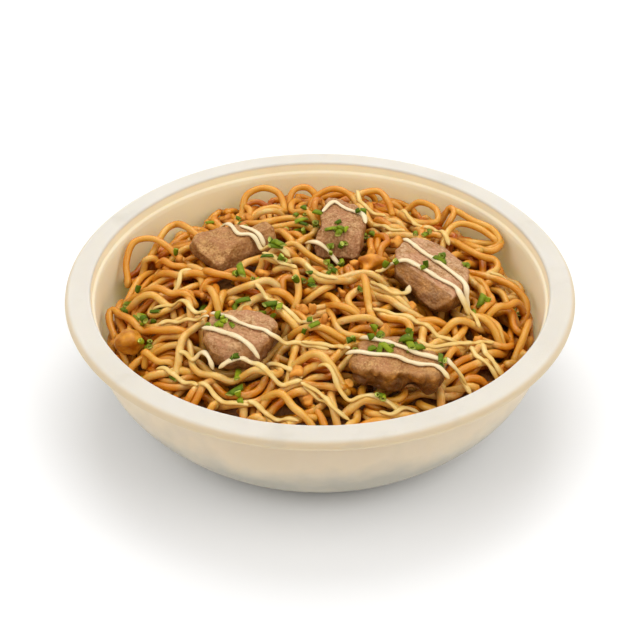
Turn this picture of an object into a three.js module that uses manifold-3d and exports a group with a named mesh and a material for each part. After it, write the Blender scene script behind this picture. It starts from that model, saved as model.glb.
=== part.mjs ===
// A round moulded-pulp bowl, heaped with fried noodles. Five pieces of pork, a lump of carrot and
// a lump of onion lie on the heap, under lines of mayonnaise and a scatter of cut chives.
// Millimetres, +Z up. The origin is the middle of the bowl's foot, on the table.

import * as THREE from "three";
import { mergeVertices } from "three/addons/utils/BufferGeometryUtils.js";
import Module from "manifold-3d";

// The bowl.
const RIM_HEIGHT = 58; // top of the flange above the table
const LIP_RADIUS = 110; // outermost edge of the turned-down lip
const FLANGE_RADIUS = 106.8; // where the flat flange starts to turn down
const MOUTH_RADIUS = 98.9; // inner edge of the flange
const LIP_DROP = 3.7; // how far the lip reaches below the flange
const LEDGE_TOP = 4.4; // depth below the rim of the sloping ledge inside the mouth
const LEDGE_FOOT = 7.4; // depth below the rim where the ledge meets the wall
const BASE_RADIUS = 75; // where the side leaves the table
const SIDE_FLARE = 24; // how much wider the side is where it turns upright
const SIDE_HEIGHT = 34; // height at which it turns upright
const SIDE_POWER = 1.65; // how early it curves up
const SIDE_LEVELS = [3, 10, 18, 26, SIDE_HEIGHT]; // heights between which the side is straight
const WALL = 1.6;
const ROUNDING = 0.9; // how far the edge of the mouth is rounded off
const DROP_LEAN = 0.3; // how far the drop from the mouth to the ledge leans in
const LIP_STEPS = 3; // straight stretches in the round of the lip
const FOOT_INNER = 60; // the foot is a flat ring from here to the side
const FOOT_RECESS = 1.2;
const FOOT_ROUND = 1.5; // how far the edges of the foot ring are rounded off
const FLOOR_EDGE = 5; // height at which the wall turns in to the floor
const FLOOR_TURN = 4; // width of that turn
const BOWL_SEGMENTS = 48;

// The heap of noodles.
const HEAP_TOP = 56; // height of its middle
const HEAP_EDGE = 33; // height at the wall, in front and at the sides
const HEAP_BACK_RISE = 9; // how much higher it stands at the back
const HEAP_POWER = 3.2; // how flat the middle is
const CORE_DROP = 5; // how far the core lies below the top of the noodles
const CORE_SEGMENTS = 32;
const CORE_SIDES = [0, 0.15, 0.5, 1]; // its rings at the wall, as shares of the way up
const CORE_TOPS = [0.92, 0.8, 0.64, 0.45, 0.24]; // its rings on top, as shares of the way out
const FIT_GAP = 0.9; // gap between the heap and the bowl
const NOODLE_RADIUS = 1.65;
const NOODLE_SIDES = 5;
const NOODLE_STEP = 8.6; // length of one straight stretch of a noodle
const NOODLE_COUNT = 17;
const NOODLE_TRIES = 40; // routes tried for each noodle, to find one over bare ground
const NOODLE_CLEARANCE = 0.25; // how far a noodle passes over one it crosses
const CROSSING_COST = 1.2; // how much a route loses for each point that lies on another noodle
const NOODLE_BEND = 22; // the tightest curve it takes over a bump
const WALL_PLAY = 0.6; // how far a noodle stays from the gap at the wall
const RELIEF_CELL = 1.5; // size of a cell of the map of the heap
const RELIEF_CELLS = 70; // cells from its middle to its edge

// The routes that noodles take over the heap.
const ROUTE_STEP = 2.5;
const ROUTE_STEPS = 60; // steps of the shortest route
const ROUTE_MORE = 30; // steps that the longest one has more
const FIRST_CURL = 0.12; // range of the curl at the start, in radians to a millimetre
const CURL_CHANGE = 0.045; // range of its change at each step
const CURL_KEPT = 0.9; // share of the curl kept at each step
const TURN_BACK = 0.8; // share of the room past which a route is turned back
const TURN_MOST = 0.22; // most that it is turned back at a step, in radians

// The toppings.
const NODE_GAP = 0.4; // gap between a topping and the noodles round it
const MAYO_RADIUS = 1.05;
const MAYO_SIDES = 4;
const MAYO_STEP = 6; // length of one straight stretch of a line
const MAYO_BEND = 9; // the tightest curve it takes over a bump
const MAYO_SINK = 0.6; // how deep it is pressed in
const MAYO_LEAST = 6; // the shortest stretch of a line
const CHIVE_RADIUS = 1.6;
const CHIVE_LENGTH = 3.2;
const CHIVE_SIDES = 5;
const CHIVE_SINK = 0.7;
const TRIM_MARGIN = 2.7; // how far the mayonnaise and chives on meat stay inside its edge
const MEAT_POINTS = 16; // round a piece of meat
const MEAT_TENSION = 0.35; // how closely its outline follows its corners
const MEAT_UNEVEN = 0.8; // range of its points' heights
const MEAT_LEAST = 0.35; // a point is pulled in to this share of the way at most
const LUMP_UNEVEN = 0.12; // range of a vegetable lump's radii, as a share of them

// Rings of a piece of meat, from its underside up: depth below the top as a share of the
// thickness, how far the ring is pulled in, and how uneven it is.
const MEAT_RINGS = [
  { depth: 1, pull: 3.9, rough: 1.5 },
  { depth: 0.85, pull: 1.2, rough: 1.5 },
  { depth: 0.45, pull: 0.4, rough: 1.5 },
  { depth: 0.14, pull: 0.9, rough: 1.5 },
  { depth: 0.01, pull: 2.8, rough: 1.5 },
  { depth: 0, pull: 6.4, rough: 0.4 },
];

// Where each kind of piece starts its random numbers.
const SEEDS = { noodles: 11, chives: 23, heapTrim: 31, meat: 41, meatTrim: 51, lumps: 61 };

// Each piece of pork: the corners of its outline, the height of its top in the middle, its
// thickness, and how far the top falls for each millimetre towards +X and +Y.
const PORK = {
  pork_back_left: {
    outline: [
      [-60, 30], [-47, 36], [-22, 40], [-18, 31], [-33, 22], [-38, 14], [-46, 13], [-54, 20],
    ],
    top: 59.5, thickness: 10, fall: [-0.05, -0.05],
  },
  pork_back: {
    outline: [[4, 64], [17, 62], [21, 40], [17, 21], [-3, 22], [1, 46]],
    top: 60, thickness: 10.5, fall: [0.06, 0.02],
  },
  pork_back_right: {
    outline: [
      [42, 28], [52, 27], [66, 8], [64, -8], [56, -16], [48, -16], [33, 4], [33, 16],
    ],
    top: 58.5, thickness: 10, fall: [0.12, -0.05],
  },
  pork_front_left: {
    outline: [
      [-43, -26], [-28, -27], [-17, -34], [-21, -44], [-25, -53], [-37, -55], [-46, -50],
      [-49, -38],
    ],
    top: 57.5, thickness: 9.5, fall: [-0.03, -0.06],
  },
  pork_front_right: {
    outline: [
      [12, -57], [21, -46], [33, -45], [46, -53], [51, -60], [45, -67], [30, -67], [16, -64],
    ],
    top: 57.5, thickness: 11, fall: [0.06, -0.08],
  },
};

// The two vegetable lumps: middle, radii along X, Y and Z, and turn about Z.
const LUMPS = {
  carrot: { middle: [23, 14, 54], radii: [5.6, 4.4, 4.2], turn: 0.5 },
  onion: { middle: [-80, -30, 43.5], radii: [5.6, 5.2, 4.8], turn: 0 },
};

// Noodles that stand clear of the heap: a few points along each, from one foot to the other.
const STANDING = [
  [[-88, 22, 40], [-89, 29, 45], [-86, 36, 51], [-78, 38, 52], [-71, 35, 50], [-64, 30, 46]],
  [[-38, 74, 44], [-36, 80, 50], [-28, 83, 52.5], [-20, 80, 51], [-17, 72, 46]],
  [[-16, 76, 45], [-13, 83, 51], [-6, 84, 52], [0, 79, 48]],
  [[42, 74, 45], [48, 72, 51], [55, 63, 53], [53, 56, 51], [46, 60, 47]],
  [[57, 65, 44], [63, 65, 51], [72, 53, 52.5], [82, 46, 51.5], [83, 39, 48], [73, 36, 46]],
  [[76, 20, 43], [86, 13, 43], [92, 7, 39], [92, 1, 35]],
];

// Lines of mayonnaise, seen from above: a few points along each.
const MAYO = [
  [[-53, 45], [-42, 42], [-38, 34], [-30, 26], [-23, 16], [-14, 8]],
  [[-36, 39], [-28, 32], [-24, 23], [-13, 2]],
  [[4, 59], [9, 59], [14, 51], [20, 47], [22, 37]],
  [[-6, 29], [3, 25], [9, 18]],
  [[37, 27], [49, 15], [60, 3], [61, -8], [66, -17]],
  [[26, 3], [36, 9], [49, 0], [57, -8], [63, -20]],
  [[44, 46], [57, 47], [60, 29], [70, 20]],
  [[-45, -28], [-32, -34], [-22, -40], [-8, -49]],
  [[-49, -34], [-36, -43], [-29, -46], [-24, -56]],
  [[-24, -52], [-15, -57], [-7, -64]],
  [[15, -49], [24, -49], [37, -51], [50, -54]],
  [[12, -55], [26, -57], [39, -57], [50, -60], [56, -65]],
  [[40, -32], [47, -38], [59, -40]],
  [[4, -65], [13, -73], [24, -73], [32, -77]],
  [[-76, 5], [-61, -2]],
  [[-46, -62], [-23, -80]],
  [[62, -38], [75, -50]],
];

// Clusters of cut chives: middle, spread and number.
const CHIVES = [
  { middle: [-37, 46], spread: 9, count: 2 },
  { middle: [-80, -8], spread: 8, count: 4 },
  { middle: [-73, -36], spread: 4, count: 1 },
  { middle: [-15, 10], spread: 9, count: 3 },
  { middle: [-24, -8], spread: 9, count: 2 },
  { middle: [-6, 52], spread: 7, count: 3 },
  { middle: [9, 30], spread: 8, count: 5 },
  { middle: [49, 10], spread: 6, count: 3 },
  { middle: [73, -4], spread: 8, count: 3 },
  { middle: [-36, -38], spread: 7, count: 3 },
  { middle: [-34, -60], spread: 6, count: 2 },
  { middle: [12, -40], spread: 14, count: 4 },
  { middle: [32, -56], spread: 12, count: 5 },
];

const wasm = await Module();
wasm.setup();

// Random numbers from 0 to 1, the same ones each time.
function seededRandom(seed) {
  let state = seed;
  return () => {
    state = (state + 0x6d2b79f5) | 0;
    let t = Math.imul(state ^ (state >>> 15), 1 | state);
    t = (t + Math.imul(t ^ (t >>> 7), 61 | t)) ^ t;
    return ((t ^ (t >>> 14)) >>> 0) / 4294967296;
  };
}

// ---- Solids -------------------------------------------------------------------------------

// The same geometry with nothing but its points, and those at one place merged.
function bareGeometry(geometry) {
  const bare = geometry.clone();
  bare.deleteAttribute("normal");
  bare.deleteAttribute("uv");
  return mergeVertices(bare, 1e-4);
}

// A closed three.js geometry as a solid that can be joined and cut.
function toSolid(geometry) {
  const merged = bareGeometry(geometry);
  return new wasm.Manifold(
    new wasm.Mesh({
      numProp: 3,
      vertProperties: merged.attributes.position.array,
      triVerts: new Uint32Array(merged.index.array),
    }),
  );
}

// The largest outer body of a solid: loose scraps are dropped, and sealed hollows filled.
function largestBody(solid) {
  const bodies = solid.decompose();
  return bodies.reduce((best, body) => (body.volume() > best.volume() ? body : best));
}

// A solid as a geometry for a mesh.
function toGeometry(solid) {
  const mesh = solid.getMesh();
  const geometry = new THREE.BufferGeometry();
  const points = new Float32Array(mesh.numVert * 3);
  for (let i = 0; i < mesh.numVert; i++) {
    points.set(mesh.vertProperties.subarray(i * mesh.numProp, i * mesh.numProp + 3), i * 3);
  }
  geometry.setAttribute("position", new THREE.BufferAttribute(points, 3));
  geometry.setIndex(new THREE.BufferAttribute(mesh.triVerts, 1));
  geometry.computeVertexNormals();
  return geometry;
}

// A closed shell of rings, each with the same number of points, from its lower pole to its upper.
function ringShell(lowerPole, rings, upperPole) {
  const around = rings[0].length;
  const points = [lowerPole, ...rings.flat(), upperPole];
  const last = points.length - 1;
  const faces = [];
  for (let j = 0; j < around; j++) {
    const next = (j + 1) % around;
    faces.push(0, 1 + next, 1 + j);
    for (let i = 0; i + 1 < rings.length; i++) {
      const low = 1 + i * around;
      const high = low + around;
      faces.push(low + j, low + next, high + next, low + j, high + next, high + j);
    }
    const top = last - around;
    faces.push(top + j, top + next, last);
  }
  const geometry = new THREE.BufferGeometry();
  geometry.setAttribute("position", new THREE.Float32BufferAttribute(points.flat(), 3));
  geometry.setIndex(faces);
  return geometry;
}

// A round strand along a smooth curve through the points, in straight stretches of a length.
function strand(points, radius, sides, stretch) {
  const section = new THREE.Shape();
  for (let i = 0; i < sides; i++) {
    const turn = (2 * Math.PI * (i + 0.5)) / sides;
    const corner = [radius * Math.cos(turn), radius * Math.sin(turn)];
    if (i === 0) section.moveTo(...corner);
    else section.lineTo(...corner);
  }
  section.closePath();
  const extrudePath = new THREE.CatmullRomCurve3(points.map((p) => new THREE.Vector3(...p)));
  const steps = Math.max(2, Math.round(extrudePath.getLength() / stretch));
  return new THREE.ExtrudeGeometry(section, { steps, extrudePath, curveSegments: 1 });
}

// ---- Bowl ---------------------------------------------------------------------------------

// Outer radius of the bowl's side at a height.
function sideRadius(z) {
  const rise = Math.min(z / SIDE_HEIGHT, 1);
  return BASE_RADIUS + SIDE_FLARE * (1 - (1 - rise) ** SIDE_POWER);
}

// Inner radius at a height: the wall has an even thickness, so it is wider where it slopes.
function innerRadius(z) {
  const rise = Math.min(z / SIDE_HEIGHT, 1);
  const slope = ((SIDE_FLARE * SIDE_POWER) / SIDE_HEIGHT) * (1 - rise) ** (SIDE_POWER - 1);
  return sideRadius(z) - WALL * Math.hypot(1, slope);
}

// The round of the lip, from its lower edge up to the flat flange.
function lipRound() {
  return Array.from({ length: LIP_STEPS + 1 }, (_, i) => {
    const turn = (Math.PI / 2) * (i / LIP_STEPS);
    const reach = (LIP_RADIUS - FLANGE_RADIUS) * Math.cos(turn);
    return [FLANGE_RADIUS + reach, RIM_HEIGHT - LIP_DROP * (1 - Math.sin(turn))];
  });
}

// The pressed bowl: a foot ring, a curved side, a sloping ledge and a flange with a rounded lip.
function bowl() {
  const underFlange = RIM_HEIGHT - WALL;
  const floor = FOOT_RECESS + WALL;
  const ledge = RIM_HEIGHT - LEDGE_TOP;
  const upright = RIM_HEIGHT - LEDGE_FOOT;
  const outline = [
    [0, FOOT_RECESS],
    [FOOT_INNER - FOOT_ROUND, FOOT_RECESS],
    [FOOT_INNER, 0],
    [BASE_RADIUS - FOOT_ROUND, 0],
    ...SIDE_LEVELS.map((z) => [sideRadius(z), z]),
    [sideRadius(upright), upright],
    [MOUTH_RADIUS + WALL, ledge],
    [MOUTH_RADIUS + WALL + ROUNDING, underFlange],
    [FLANGE_RADIUS, underFlange],
    [LIP_RADIUS - WALL, RIM_HEIGHT - LIP_DROP],
    ...lipRound(),
    [MOUTH_RADIUS + ROUNDING, RIM_HEIGHT],
    [MOUTH_RADIUS, RIM_HEIGHT - ROUNDING],
    [MOUTH_RADIUS - DROP_LEAN, ledge],
    [innerRadius(upright), upright],
    ...SIDE_LEVELS.slice(1).reverse().map((z) => [innerRadius(z), z]),
    [innerRadius(FLOOR_EDGE), FLOOR_EDGE],
    [innerRadius(FLOOR_EDGE) - FLOOR_TURN, floor],
    [0, floor],
  ];
  const profile = outline.map(([radius, height]) => new THREE.Vector2(radius, height));
  const geometry = new THREE.LatheGeometry(profile, BOWL_SEGMENTS);
  geometry.rotateX(Math.PI / 2);
  return toSolid(geometry);
}

// ---- Heap ---------------------------------------------------------------------------------

// Height of the top of the noodles at a place: a flat dome that falls to the wall.
function heapHeight(x, y) {
  const reach = Math.hypot(x, y) / innerRadius(SIDE_HEIGHT);
  const back = Math.max(0, Math.sin(Math.atan2(y, x)));
  const edge = HEAP_EDGE + HEAP_BACK_RISE * back * back;
  return HEAP_TOP - (HEAP_TOP - edge) * Math.min(reach, 1) ** HEAP_POWER;
}

function coreHeight(x, y) {
  return heapHeight(x, y) - CORE_DROP;
}

// The core of the heap: it fills the bowl, with a gap, up to a dome below the noodles.
function heapCore() {
  const floor = FOOT_RECESS + WALL + FIT_GAP;
  const floorRadius = innerRadius(FLOOR_EDGE) - FLOOR_TURN - FIT_GAP;
  const ring = (point) =>
    Array.from({ length: CORE_SEGMENTS }, (_, j) => {
      const turn = (2 * Math.PI * j) / CORE_SEGMENTS;
      return point(Math.cos(turn), Math.sin(turn));
    });
  const edge = (c, s) => {
    const radius = innerRadius(SIDE_HEIGHT) - FIT_GAP;
    return coreHeight(radius * c, radius * s);
  };
  const sides = CORE_SIDES.map((level) =>
    ring((c, s) => {
      const z = floor + (edge(c, s) - floor) * level;
      const wallRadius = innerRadius(Math.max(z, FLOOR_EDGE)) - FIT_GAP;
      const radius = level === 0 ? floorRadius : wallRadius;
      return [radius * c, radius * s, z];
    }),
  );
  const tops = CORE_TOPS.map((reach) =>
    ring((c, s) => {
      const radius = reach * innerRadius(SIDE_HEIGHT);
      return [radius * c, radius * s, coreHeight(radius * c, radius * s)];
    }),
  );
  return toSolid(ringShell([0, 0, floor], [...sides, ...tops], [0, 0, coreHeight(0, 0)]));
}

// A map of how high the heap stands, which grows as noodles are laid on it.
class Relief {
  constructor() {
    this.cell = RELIEF_CELL;
    this.half = RELIEF_CELLS;
    this.size = 2 * this.half + 1;
    this.map = new Float32Array(this.size * this.size);
    for (let i = 0; i < this.size; i++) {
      for (let j = 0; j < this.size; j++) {
        const x = (i - this.half) * this.cell;
        const y = (j - this.half) * this.cell;
        this.map[i * this.size + j] = coreHeight(x, y);
      }
    }
  }

  // Whether no noodle covers a place yet.
  isBare(x, y) {
    let bare = true;
    this.near(x, y, this.cell, (cell) => {
      if (this.map[cell] > coreHeight(x, y) + NOODLE_RADIUS) bare = false;
    });
    return bare;
  }

  // Calls visit(index, distance) for each cell within a reach of a place.
  near(x, y, reach, visit) {
    const cells = Math.ceil(reach / this.cell);
    const i0 = Math.round(x / this.cell) + this.half;
    const j0 = Math.round(y / this.cell) + this.half;
    for (let i = Math.max(0, i0 - cells); i <= Math.min(this.size - 1, i0 + cells); i++) {
      for (let j = Math.max(0, j0 - cells); j <= Math.min(this.size - 1, j0 + cells); j++) {
        const dx = (i - this.half) * this.cell - x;
        const dy = (j - this.half) * this.cell - y;
        const distance = Math.hypot(dx, dy);
        if (distance <= reach) visit(i * this.size + j, distance);
      }
    }
  }

  // The height at which a round thing's middle comes to lie at a place.
  rest(x, y, radius) {
    let height = -Infinity;
    this.near(x, y, radius, (cell, distance) => {
      const lift = Math.sqrt(radius * radius - distance * distance);
      height = Math.max(height, this.map[cell] + lift);
    });
    return height;
  }

  // Adds a round thing whose middle is at a place.
  add(x, y, z, radius) {
    this.near(x, y, radius, (cell, distance) => {
      const lift = Math.sqrt(radius * radius - distance * distance);
      this.map[cell] = Math.max(this.map[cell], z + lift);
    });
  }
}

// Lays a route on the relief: it rests on the highest bumps, and bends between them no tighter
// than the given radius.
function drape(route, relief, radius, sink, bend) {
  const needed = route.map(([x, y]) => relief.rest(x, y, radius) - sink);
  return route.map(([x, y], i) => {
    let z = needed[i];
    route.forEach(([u, v], k) => {
      const along = Math.hypot(u - x, v - y);
      z = Math.max(z, needed[k] - (along * along) / (2 * bend));
    });
    return [x, y, z];
  });
}

// Distance from a place to a closed outline, below 0 inside it.
function outlineDistance(outline, x, y) {
  let nearest = Infinity;
  let inside = false;
  outline.forEach(([x1, y1], i) => {
    const [x2, y2] = outline[(i + 1) % outline.length];
    const dx = x2 - x1;
    const dy = y2 - y1;
    const part = Math.min(Math.max(((x - x1) * dx + (y - y1) * dy) / (dx * dx + dy * dy), 0), 1);
    nearest = Math.min(nearest, Math.hypot(x1 + part * dx - x, y1 + part * dy - y));
    if (y1 > y !== y2 > y && x < x1 + ((y - y1) / dy) * dx) inside = !inside;
  });
  return inside ? -nearest : nearest;
}

// Distance from a place to the nearest topping, below 0 on it.
function toppingDistance(x, y) {
  const toMeat = Object.values(PORK).map((meat) => outlineDistance(meat.outline, x, y));
  const toLumps = Object.values(LUMPS).map(
    ({ middle, radii }) => Math.hypot(middle[0] - x, middle[1] - y) - radii[0],
  );
  return Math.min(...toMeat, ...toLumps);
}

// The longest stretch of a route whose points all pass a test.
function longestRun(route, test) {
  let best = [];
  let run = [];
  for (const point of route) {
    run = test(point) ? [...run, point] : [];
    if (run.length > best.length) best = run;
  }
  return best;
}

// Where a noodle may lie in plan: this far inside the bowl.
function roomRadius() {
  return innerRadius(SIDE_HEIGHT) - NOODLE_RADIUS - FIT_GAP - WALL_PLAY;
}

// A wandering route in plan, from a chance place on the heap, whose curl changes slowly and which
// turns back before the wall.
function wander(random) {
  const count = ROUTE_STEPS + Math.floor(random() * ROUTE_MORE);
  const start = roomRadius() * Math.sqrt(random());
  const turn = random() * 2 * Math.PI;
  let x = start * Math.cos(turn);
  let y = start * Math.sin(turn);
  let heading = random() * 2 * Math.PI;
  let curl = (random() - 0.5) * FIRST_CURL;
  const route = [[x, y]];
  for (let i = 0; i < count; i++) {
    curl = curl * CURL_KEPT + (random() - 0.5) * CURL_CHANGE;
    const reach = Math.hypot(x, y) / roomRadius();
    if (reach > TURN_BACK) {
      const inward = Math.atan2(-y, -x);
      const swing = Math.atan2(Math.sin(inward - heading), Math.cos(inward - heading));
      const nearness = (reach - TURN_BACK) / (1 - TURN_BACK);
      heading += Math.sign(swing) * Math.min(Math.abs(swing), TURN_MOST) * nearness;
    }
    heading += curl * ROUTE_STEP;
    x += ROUTE_STEP * Math.cos(heading);
    y += ROUTE_STEP * Math.sin(heading);
    const over = Math.hypot(x, y) / roomRadius();
    if (over > 1) {
      x /= over;
      y /= over;
    }
    route.push([x, y]);
  }
  return route;
}

// Of many chance routes clear of the toppings and of what is piled high already, the one that
// covers most ground still bare and crosses fewest noodles.
function barestRoute(relief, random) {
  const clear = ([x, y]) =>
    toppingDistance(x, y) > NOODLE_RADIUS + NODE_GAP &&
    relief.rest(x, y, NOODLE_RADIUS) < heapHeight(x, y) + NOODLE_RADIUS;
  const gain = (route) => {
    const cover = route.filter(([x, y]) => relief.isBare(x, y)).length;
    return cover - CROSSING_COST * (route.length - cover);
  };
  const tries = Array.from({ length: NOODLE_TRIES }, () => longestRun(wander(random), clear));
  return tries.reduce((best, route) => (gain(route) > gain(best) ? route : best));
}

// The noodles on top of the heap: the wandering ones, largest first, then the standing ones.
// Each has both ends tucked into the core.
function noodleStrands(relief) {
  const random = seededRandom(SEEDS.noodles);
  const foot = ([x, y]) => [x, y, coreHeight(x, y) - NOODLE_RADIUS];
  const lay = (points) => {
    points.forEach(([x, y, z]) => relief.add(x, y, z, NOODLE_RADIUS));
    const whole = [foot(points[0]), ...points, foot(points[points.length - 1])];
    return toSolid(strand(whole, NOODLE_RADIUS, NOODLE_SIDES, NOODLE_STEP));
  };
  const wandering = Array.from({ length: NOODLE_COUNT }, () => {
    const route = barestRoute(relief, random);
    return lay(drape(route, relief, NOODLE_RADIUS, -NOODLE_CLEARANCE, NOODLE_BEND));
  });
  return [...wandering, ...STANDING.map(lay)];
}

// ---- Toppings -----------------------------------------------------------------------------

// Height of a piece of meat's top at a place.
function meatTop({ outline, top, fall }, x, y) {
  const middleX = outline.reduce((sum, p) => sum + p[0], 0) / outline.length;
  const middleY = outline.reduce((sum, p) => sum + p[1], 0) / outline.length;
  return top - fall[0] * (x - middleX) - fall[1] * (y - middleY);
}

// A torn block of meat: rings of its outline, pulled in at the top and bottom edges and uneven.
// Grown by a margin, it is the space that the noodles leave for it.
function meatBlock(meat, seed, grow) {
  const random = seededRandom(seed);
  const corners = meat.outline.map(([x, y]) => new THREE.Vector3(x, y, 0));
  const curve = new THREE.CatmullRomCurve3(corners, true, "catmullrom", MEAT_TENSION);
  const rim = curve.getSpacedPoints(MEAT_POINTS).slice(0, MEAT_POINTS);
  const middle = rim.reduce((sum, p) => sum.add(p), new THREE.Vector3()).divideScalar(rim.length);
  const clockwise = THREE.ShapeUtils.isClockWise(rim);
  const around = clockwise ? [...rim].reverse() : rim;
  const rings = MEAT_RINGS.map(({ depth, pull, rough }) =>
    around.map((p) => {
      const out = p.clone().sub(middle);
      const length = out.length();
      const pulled = length - pull + (random() - 0.5) * rough;
      const reach = Math.max(pulled, length * MEAT_LEAST) + grow;
      out.multiplyScalar(reach / length).add(middle);
      const lift = (random() - 0.5) * MEAT_UNEVEN;
      const z = meatTop(meat, out.x, out.y) - depth * meat.thickness + lift;
      return [out.x, out.y, z + (depth > 0.5 ? -grow : grow)];
    }),
  );
  const top = meatTop(meat, middle.x, middle.y) + grow;
  const bottom = top - meat.thickness - 2 * grow;
  return toSolid(ringShell([middle.x, middle.y, bottom], rings, [middle.x, middle.y, top]));
}

// An uneven rounded lump of vegetable.
function lump({ middle, radii, turn }, seed, grow) {
  const random = seededRandom(seed);
  const geometry = bareGeometry(new THREE.IcosahedronGeometry(1, 1));
  const position = geometry.attributes.position;
  for (let i = 0; i < position.count; i++) {
    const swell = 1 + (random() - 0.5) * LUMP_UNEVEN;
    const size = radii.map((radius) => radius * swell + grow);
    const point = [position.getX(i), position.getY(i), position.getZ(i)];
    position.setXYZ(i, ...point.map((value, axis) => value * size[axis]));
  }
  geometry.rotateZ(turn);
  geometry.translate(...middle);
  return toSolid(geometry);
}

// Points a millimetre apart along a smooth line in plan.
function planRoute(points) {
  const curve = new THREE.CatmullRomCurve3(points.map(([x, y]) => new THREE.Vector3(x, y, 0)));
  const count = Math.round(curve.getLength());
  return curve.getSpacedPoints(count).map((p) => [p.x, p.y]);
}

// All stretches of a route whose points, a millimetre apart, pass a test, but no short ones.
function runs(route, test) {
  const found = [];
  let run = [];
  for (const point of [...route, null]) {
    if (point && test(point)) {
      run.push(point);
    } else {
      if (run.length >= MAYO_LEAST) found.push(run);
      run = [];
    }
  }
  return found;
}

// A line of mayonnaise along a draped route.
function mayoLine(points) {
  return toSolid(strand(points, MAYO_RADIUS, MAYO_SIDES, MAYO_STEP));
}

// A short cut length of chive, turned at random.
function chive(x, y, z, random) {
  const geometry = new THREE.CylinderGeometry(CHIVE_RADIUS, CHIVE_RADIUS, CHIVE_LENGTH, CHIVE_SIDES);
  geometry.rotateX(random() * Math.PI);
  geometry.rotateZ(random() * Math.PI);
  geometry.translate(x, y, z);
  return toSolid(geometry);
}

// Places of the cut chives in plan.
function chivePlaces() {
  const random = seededRandom(SEEDS.chives);
  return CHIVES.flatMap(({ middle, spread, count }) =>
    Array.from({ length: count }, () => {
      const turn = random() * 2 * Math.PI;
      const reach = spread * Math.sqrt(random());
      return [middle[0] + reach * Math.cos(turn), middle[1] + reach * Math.sin(turn)];
    }),
  );
}

// The mayonnaise and chives on one piece of meat, kept inside its edge.
function meatTrimmings(meat, seed) {
  const random = seededRandom(seed);
  const onMeat = ([x, y]) => outlineDistance(meat.outline, x, y) < -TRIM_MARGIN;
  const mayoLift = MAYO_RADIUS - MAYO_SINK;
  const chiveLift = CHIVE_RADIUS - CHIVE_SINK;
  const lines = MAYO.flatMap((points) => runs(planRoute(points), onMeat));
  const mayo = lines.map((run) =>
    mayoLine(run.map(([x, y]) => [x, y, meatTop(meat, x, y) + mayoLift])),
  );
  const bits = chivePlaces().filter(onMeat);
  const chives = bits.map(([x, y]) => chive(x, y, meatTop(meat, x, y) + chiveLift, random));
  return [...mayo, ...chives];
}

// The mayonnaise and chives that lie on the noodles, clear of the toppings.
function heapTrimmings(relief) {
  const random = seededRandom(SEEDS.heapTrim);
  const chiveReach = Math.hypot(CHIVE_LENGTH / 2, CHIVE_RADIUS);
  const clear = (size) => ([x, y]) =>
    Math.hypot(x, y) < roomRadius() && toppingDistance(x, y) > size + 2 * NODE_GAP;
  const lines = MAYO.flatMap((points) => runs(planRoute(points), clear(MAYO_RADIUS)));
  const mayo = lines.map((run) => {
    const points = drape(run, relief, MAYO_RADIUS, MAYO_SINK, MAYO_BEND);
    const foot = ([x, y, z]) => [x, y, z - MAYO_RADIUS];
    return mayoLine([foot(points[0]), ...points, foot(points[points.length - 1])]);
  });
  const bits = chivePlaces().filter(clear(chiveReach));
  const chives = bits.map(([x, y]) =>
    chive(x, y, relief.rest(x, y, CHIVE_RADIUS) - CHIVE_SINK, random),
  );
  return [...mayo, ...chives];
}

// ---- The dish -----------------------------------------------------------------------------

function addMesh(group, name, solid, color, roughness) {
  const material = new THREE.MeshStandardMaterial({ color, roughness, metalness: 0 });
  const mesh = new THREE.Mesh(toGeometry(solid), material);
  mesh.name = name;
  group.add(mesh);
}

function yakisoba() {
  const dish = new THREE.Group();
  addMesh(dish, "bowl", bowl(), "#e4d8c2", 0.85);

  const meats = Object.entries(PORK);
  const lumps = Object.entries(LUMPS);
  const relief = new Relief();
  const strands = noodleStrands(relief);
  const trimmings = heapTrimmings(relief);
  const heap = wasm.Manifold.union([heapCore(), ...strands, ...trimmings]);
  const spaces = [
    ...meats.map(([, meat], i) => meatBlock(meat, SEEDS.meat + i, NODE_GAP)),
    ...lumps.map(([, body], i) => lump(body, SEEDS.lumps + i, NODE_GAP)),
  ];
  const noodles = largestBody(largestBody(heap).subtract(wasm.Manifold.union(spaces)));
  addMesh(dish, "noodles", noodles, "#cf9450", 0.4);

  meats.forEach(([name, meat], i) => {
    const parts = [meatBlock(meat, SEEDS.meat + i, 0), ...meatTrimmings(meat, SEEDS.meatTrim + i)];
    addMesh(dish, name, largestBody(wasm.Manifold.union(parts)), "#a8795f", 0.5);
  });
  addMesh(dish, "carrot", lump(LUMPS.carrot, SEEDS.lumps, 0), "#c8702c", 0.45);
  addMesh(dish, "onion", lump(LUMPS.onion, SEEDS.lumps + 1, 0), "#c98a4a", 0.4);
  return dish;
}

export default yakisoba();
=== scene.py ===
from math import cos, pi, radians, sin

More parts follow.
